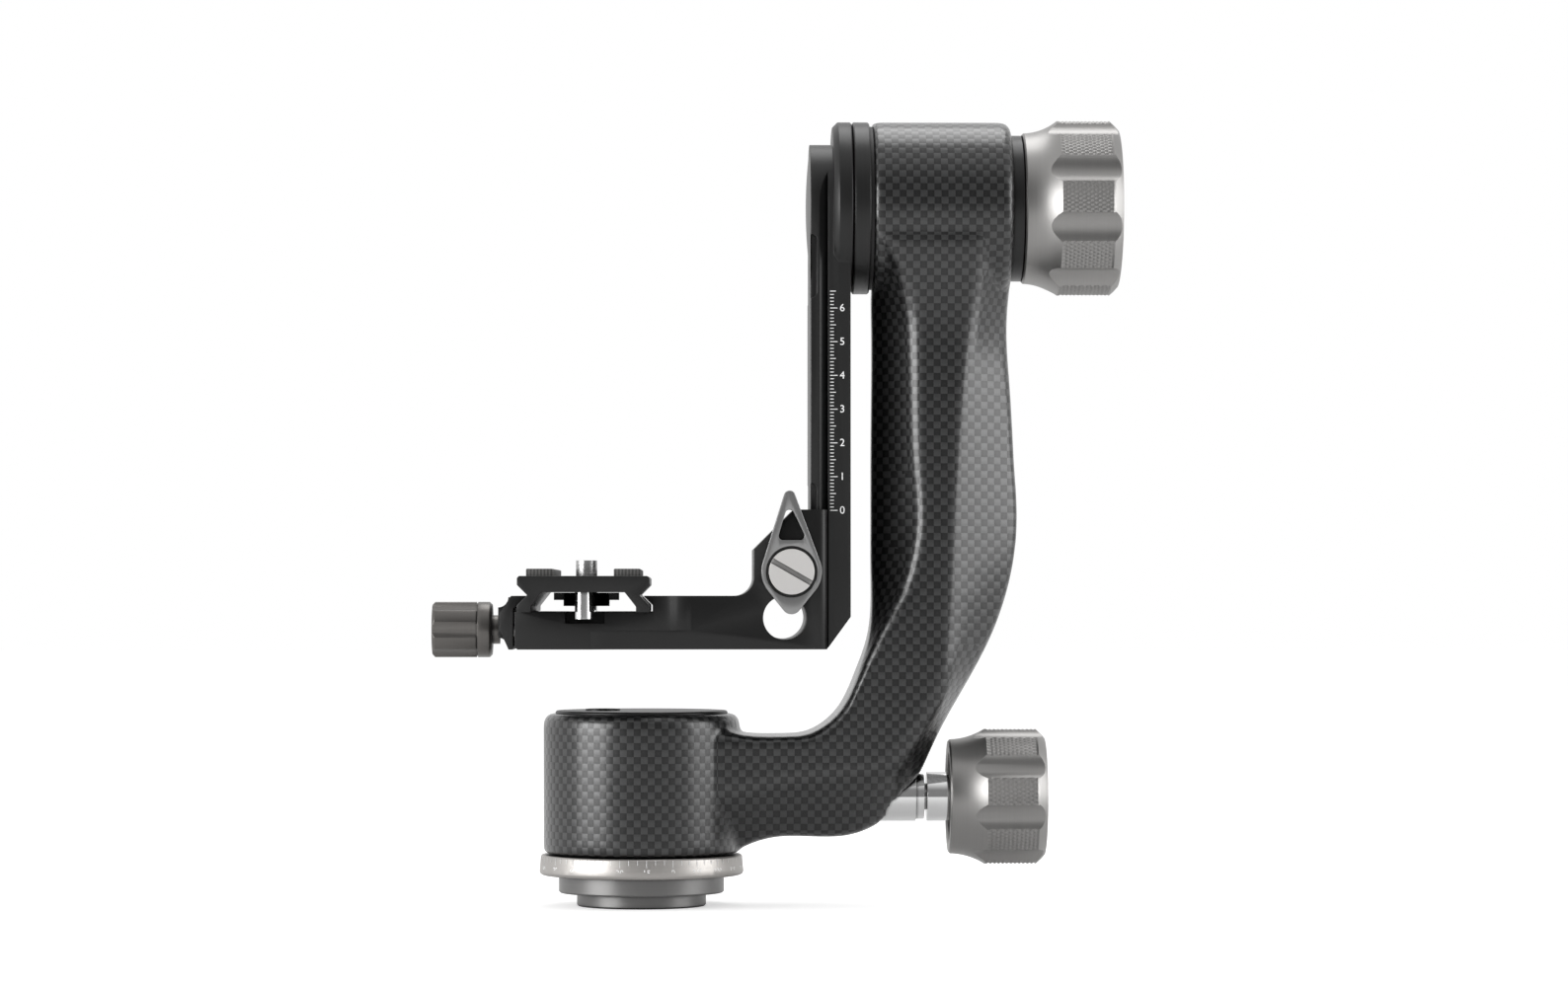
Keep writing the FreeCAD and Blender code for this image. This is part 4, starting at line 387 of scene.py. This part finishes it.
def leave():
    bpy.ops.object.mode_set(mode="OBJECT")


# Copy of a CAD node, its loose triangles joined and its flat faces made whole
def merged_copy(node, name, flat=True):
    weld = 0.002 * MM
    same_face = math.radians(0.4)
    source = frame["nodes"][node]
    piece = bpy.data.objects.new(name, source.data.copy())
    bpy.context.scene.collection.objects.link(piece)
    edit(piece)
    bpy.ops.mesh.remove_doubles(threshold=weld)
    if flat:
        bpy.ops.mesh.dissolve_limited(angle_limit=same_face)
    leave()
    return piece


# Finished piece shown in the place of its CAD node
def stand_for(piece, node, material, angle=30):
    only(piece)
    bpy.ops.object.shade_smooth_by_angle(angle=math.radians(angle))
    paint_piece(piece, material)
    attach(piece, BODY_OF[node])
    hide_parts(node)


# Machined block or disc with its sharp edges broken
def broken_edges(node, material, width):
    piece = merged_copy(node, node + "_finished")
    apply(piece, "BEVEL", width=width, segments=2, limit_method="ANGLE",
          angle_limit=math.radians(28), use_clamp_overlap=True)
    stand_for(piece, node, material)


for node, material, width in (
        ("swing_arm", black_satin, 0.3 * MM), ("platform_bracket", black_satin, 0.35 * MM),
        ("quick_plate", black_satin, 0.25 * MM), ("clamp_jaw", black_satin, 0.3 * MM),
        ("height_lever", blasted_steel, 0.6 * MM), ("clamp_knob", gunmetal, 0.2 * MM),
        ("plate_pads", rubber, 0.35 * MM), ("degree_ring", champagne, 0.15 * MM)):
    broken_edges(node, material, width)


# Upright as it leaves its mould: the joints between hubs and limb run into each other
def moulded_upright():
    voxel = 1.0 * MM
    rounds = 7
    piece = merged_copy("carbon_arm", "upright_moulded", flat=False)
    apply(piece, "REMESH", mode="VOXEL", voxel_size=voxel, adaptivity=0.0)
    apply(piece, "SMOOTH", factor=0.5, iterations=rounds)
    stand_for(piece, "carbon_arm", carbon, angle=80)


moulded_upright()


# Shell turned about an axis along X: a circle drawn out from station to station
def turned_shell(name, height, stations, sides):
    start, radius = stations[0]
    bpy.ops.object.select_all(action="DESELECT")
    bpy.ops.mesh.primitive_circle_add(
        vertices=sides, radius=radius, fill_type="NGON", location=(start, 0, height),
        rotation=(0, math.pi / 2, 0))
    piece = bpy.context.object
    piece.name = name
    bpy.ops.object.transform_apply(location=True, rotation=True, scale=True)
    edit(piece)
    bpy.ops.mesh.delete(type="ONLY_FACE")
    bpy.ops.mesh.select_all(action="SELECT")
    for (before, wide), (after, next_wide) in zip(stations, stations[1:]):
        bpy.ops.mesh.extrude_region_move(TRANSFORM_OT_translate={"value": (after - before, 0, 0)})
        grow = next_wide / wide
        bpy.ops.transform.resize(value=(1, grow, grow), center_override=(after, 0, height))
    bpy.ops.mesh.edge_face_add()
    bpy.ops.mesh.select_all(action="DESELECT")
    bpy.ops.mesh.select_mode(type="EDGE")
    bpy.ops.mesh.select_non_manifold()
    bpy.ops.mesh.edge_face_add()
    bpy.ops.mesh.select_all(action="SELECT")
    bpy.ops.mesh.normals_make_consistent(inside=False)
    leave()
    return piece


# Round bars that mill the finger scallops
def scallop_bars(height, length, middle, reach, cutter, count, turn):
    bars = []
    for number in range(count):
        angle = turn + number * FULL_TURN / count
        bpy.ops.object.select_all(action="DESELECT")
        bpy.ops.mesh.primitive_cylinder_add(
            vertices=72, radius=cutter, depth=length, rotation=(0, math.pi / 2, 0),
            location=(middle, -reach * math.cos(angle), height - reach * math.sin(angle)))
        bars.append(bpy.context.object)
    for bar in bars:
        bar.select_set(True)
    bpy.ops.object.join()
    return bpy.context.object


# Lock knob: hollow back, slim neck, flare, knurled lands, scallops and a chamfered end
def lock_knob(node, height, small, large, flare, chamfer, cup, cup_depth, teeth, scallops,
              turn, cut, cutter):
    edge = 0.5 * MM
    tooth = 0.3 * MM
    tooth_row = 1.25 * MM
    flare_steps = 12
    hole = 4 * MM
    cover_margin = 6 * MM
    cover_gap = 0.05 * MM
    cover_depth = 1.6 * MM
    cover_hole = 1 * MM
    low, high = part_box(node)
    start, end = low.x, high.x
    rise = large - small
    swing = (flare ** 2 + rise ** 2) / (2 * rise)
    land_start = start + flare
    land_end = end - chamfer
    rows = 2 * round((land_end - land_start) / tooth_row) + 1
    stations = [(start + cup_depth, hole), (start + cup_depth, cup), (start + edge, cup),
                (start, cup + edge), (start, small - edge), (start + edge, small)]
    for step in range(1, flare_steps + 1):
        along = flare * step / flare_steps
        stations.append((start + max(along, edge * 1.2),
                         small + swing - math.sqrt(swing ** 2 - along ** 2)))
    spacing = (land_end - land_start) / rows
    stations += [(land_start + spacing * (row + 1), large) for row in range(rows)]
    cover = large - cover_margin + cover_gap
    stations += [(end - 0.4 * chamfer, large - 0.55 * chamfer), (end, large - chamfer),
                 (end, cover), (end - cover_depth, cover), (end - cover_depth, cover_hole)]
    piece = turned_shell(node + "_knurled", height, stations, 2 * teeth)
    for corner in piece.data.vertices:
        row = round((corner.co.x - land_start) / spacing)
        across = Vector((0, corner.co.y, corner.co.z - height))
        if 1 <= row < rows and across.length > large - 0.01 * MM:
            column = round(math.atan2(across.y, across.z) / (FULL_TURN / (2 * teeth)))
            raised = row % 2 and (column + row // 2) % 2
            moved = across.normalized() * (large if raised else large - tooth)
            corner.co = Vector((corner.co.x, moved.y, moved.z + height))
    reach = large - cut + cutter
    bars = scallop_bars(height, 3 * (end - start), (start + end) / 2, reach, cutter, scallops,
                        turn)
    apply(piece, "BOOLEAN", operation="DIFFERENCE", solver="EXACT", object=bars)
    bpy.data.objects.remove(bars)
    stand_for(piece, node, titanium, angle=24)


lock_knob("tilt_lock_knob", TILT_HEIGHT, small=22.6 * MM, large=26.3 * MM, flare=10.5 * MM,
          chamfer=2.6 * MM, cup=15 * MM, cup_depth=3 * MM, teeth=130, scallops=9,
          turn=math.radians(16.5), cut=2.0 * MM, cutter=7.4 * MM)
lock_knob("pan_lock_knob", PAN_LOCK_HEIGHT, small=17.1 * MM, large=20.2 * MM, flare=10.8 * MM,
          chamfer=2.6 * MM, cup=13.8 * MM, cup_depth=8 * MM, teeth=100, scallops=8,
          turn=math.radians(16.0), cut=1.7 * MM, cutter=6.6 * MM)


# Figures cut flat, then laid on their surface by a rule that bends or moves them
def lettered(name, word, height, lay):
    bpy.ops.object.select_all(action="DESELECT")
    bpy.ops.object.text_add(location=(0, 0, 0))
    piece = bpy.context.object
    piece.data.body = word
    piece.data.size = height / 0.7
    piece.data.align_x = "CENTER"
    piece.data.align_y = "CENTER"
    bpy.ops.object.convert(target="MESH")
    piece = bpy.context.object
    piece.name = name
    for corner in piece.data.vertices:
        corner.co = lay(corner.co.x, corner.co.y)
    return piece


def line_mark(name, width, length, lay):
    bpy.ops.object.select_all(action="DESELECT")
    bpy.ops.mesh.primitive_plane_add(size=1)
    piece = bpy.context.object
    piece.name = name
    edit(piece)
    bpy.ops.transform.resize(value=(width, length, 1))
    leave()
    for corner in piece.data.vertices:
        corner.co = lay(corner.co.x, corner.co.y)
    return piece


def join_marks(marks, name, body):
    bpy.ops.object.select_all(action="DESELECT")
    for mark in marks:
        mark.select_set(True)
    bpy.context.view_layer.objects.active = marks[0]
    bpy.ops.object.join()
    piece = bpy.context.object
    piece.name = name
    paint_piece(piece, paint)
    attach(piece, body)


# Degree scale round the base ring: a line every 5 degrees and a number every 15
def degree_scale():
    line_width = 0.16 * MM
    short_line = 1.4 * MM
    long_line = 2.1 * MM
    figure_height = 1.7 * MM
    figure_level = 2.0 * MM
    zero_turn = 18.3
    taper = 0.4 * MM
    low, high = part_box("degree_ring")
    radius = (high.x - low.x) / 2
    top = high.z - 0.35 * MM
    marks = []

    def around(angle, level):
        def lay(across, up):
            turn = angle + across / radius
            reach = radius - taper * (level + up - low.z) / (high.z - low.z)
            reach += PAINT_LIFT + 0.02 * MM
            return Vector((reach * math.sin(turn), -reach * math.cos(turn), level + up))
        return lay

    for degree in range(0, 360, 5):
        angle = math.radians(zero_turn - degree)
        length = long_line if degree % 15 == 0 else short_line
        marks.append(line_mark("degree_line", line_width, length,
                               around(angle, top - length / 2)))
        if degree % 15 == 0:
            marks.append(lettered("degree_number", str(degree), figure_height,
                                  around(angle, low.z + figure_level)))
    join_marks(marks, "degree_scale", "base")


degree_scale()


# Height scale on the near side of the rail: millimetre lines and centimetre numbers
def height_scale():
    face = -19.0 * MM - PAINT_LIFT
    left = 55.9 * MM
    first = 117.9 * MM
    line_count = 66
    line_width = 0.22 * MM
    lengths = (1.1 * MM, 1.7 * MM, 2.2 * MM)
    figure_height = 2.2 * MM
    figure_place = 59.5 * MM
    marks = []

    def flat(x, z):
        return lambda across, up: Vector((x + across, face, z + up))

    for line in range(line_count):
        length = lengths[(line % 5 == 0) + (line % 10 == 0)]
        marks.append(line_mark("height_line", length, line_width,
                               flat(left + length / 2, first + line * MM)))
        if line % 10 == 0:
            marks.append(lettered("height_number", str(line // 10), figure_height,
                                  flat(figure_place, first + line * MM)))
    join_marks(marks, "height_scale", "cradle")


height_scale()


# Real thread on the camera screw: a coil of V section round a core
def camera_thread():
    low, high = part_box("camera_screw")
    middle = (low.x + high.x) / 2
    pitch = 1.27 * MM
    outer = 3.175 * MM
    bite = 0.06 * MM
    turns = 3
    start = high.z - (turns + 0.75) * pitch
    bpy.ops.object.select_all(action="DESELECT")
    bpy.ops.mesh.primitive_circle_add(vertices=4, radius=pitch / 2, fill_type="NOTHING",
                                      rotation=(math.pi / 2, 0, 0))
    coil = bpy.context.object
    coil.name = "camera_screw_thread"
    bpy.ops.object.transform_apply(location=False, rotation=True, scale=False)
    edit(coil)
    bpy.ops.transform.translate(value=(outer - pitch / 2 + bite, 0, start))
    leave()
    apply(coil, "SCREW", screw_offset=pitch, iterations=turns, steps=48, render_steps=48,
          use_merge_vertices=True, use_normal_calculate=True)
    edit(coil)
    bpy.ops.transform.translate(value=(middle, 0, 0))
    leave()
    only(coil)
    bpy.ops.object.shade_smooth_by_angle(angle=math.radians(35))
    paint_piece(coil, bright_steel)
    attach(coil, "camera_screw")


camera_thread()


# Studio: pale floor, soft panels on both sides and above, white surroundings
def studio():
    floor_glow = 0.5
    front_level = 0.24
    around_level = 0.85
    soft_level = 0.62
    bpy.ops.object.select_all(action="DESELECT")
    bpy.ops.mesh.primitive_plane_add(size=12, location=(0, 0, -0.05 * MM))
    floor = bpy.context.object
    floor.name = "studio_floor"
    finish = Finish(bpy.data.materials.new("pale_floor"))
    rays = finish.node("ShaderNodeLightPath", output="Is Camera Ray")
    diffuse = finish.node("ShaderNodeBsdfDiffuse", None, {"Color": grey(0.86)})
    glow = finish.node("ShaderNodeEmission", None,
                       {"Color": grey(1.0), "Strength": rays * floor_glow})
    shader = finish.node("ShaderNodeAddShader", None, {0: diffuse, 1: glow})
    finish.node_output(shader)
    floor.data.materials.append(finish.block)

    world = bpy.data.worlds.new("studio_surroundings")
    bpy.context.scene.world = world
    sky = Finish(world)
    spot = sky.node("ShaderNodeTexCoord", output="Generated")
    _, depth, _ = sky.parts(spot)
    front = (0 - depth - 0.45) / 0.4
    front = front.of("MAXIMUM", 0.0).of("MINIMUM", 1.0)
    glossy = sky.node("ShaderNodeLightPath", output="Is Glossy Ray")
    camera = sky.node("ShaderNodeLightPath", output="Is Camera Ray")
    through = sky.node("ShaderNodeLightPath", output="Is Transmission Ray")
    mirrored = sky.mix(front, grey(around_level), grey(front_level))
    soft = sky.mix(glossy, grey(soft_level), mirrored)
    seen = sky.mix((camera + through).of("MINIMUM", 1.0), soft, grey(1.0))
    sky.node_output(sky.node("ShaderNodeBackground", None, {"Color": seen, "Strength": 1.0}),
                    "ShaderNodeOutputWorld")

    middle = Vector((0.04, 0, 0.12))
    for name, place, size, power in (
            ("left_panel", (-1.0, -0.6, 0.2), 0.8, 13.0),
            ("right_panel", (1.1, -0.2, 0.25), 0.8, 6.0),
            ("top_panel", (0.1, 0.45, 1.3), 0.8, 5.0)):
        lamp = bpy.data.lights.new(name, "AREA")
        lamp.size = size
        lamp.energy = power
        holder = bpy.data.objects.new(name, lamp)
        bpy.context.scene.collection.objects.link(holder)
        holder.location = place
        aim = middle - Vector(place)
        holder.rotation_euler = aim.to_track_quat("-Z", "Y").to_euler()


studio()


# Camera at the photograph's distance and angle
def camera():
    stand = Vector((11.85 * MM, -1.4, 93.7 * MM))
    target = Vector((42.65 * MM, 0, 123.3 * MM))
    data = bpy.data.cameras.new("camera")
    data.sensor_width = 36.0
    data.lens = 107.2
    holder = bpy.data.objects.new("camera", data)
    bpy.context.scene.collection.objects.link(holder)
    holder.location = stand
    aim = target - stand
    holder.rotation_euler = aim.to_track_quat("-Z", "Y").to_euler()
    bpy.context.scene.camera = holder


camera()
bpy.context.scene.view_settings.view_transform = "Standard"
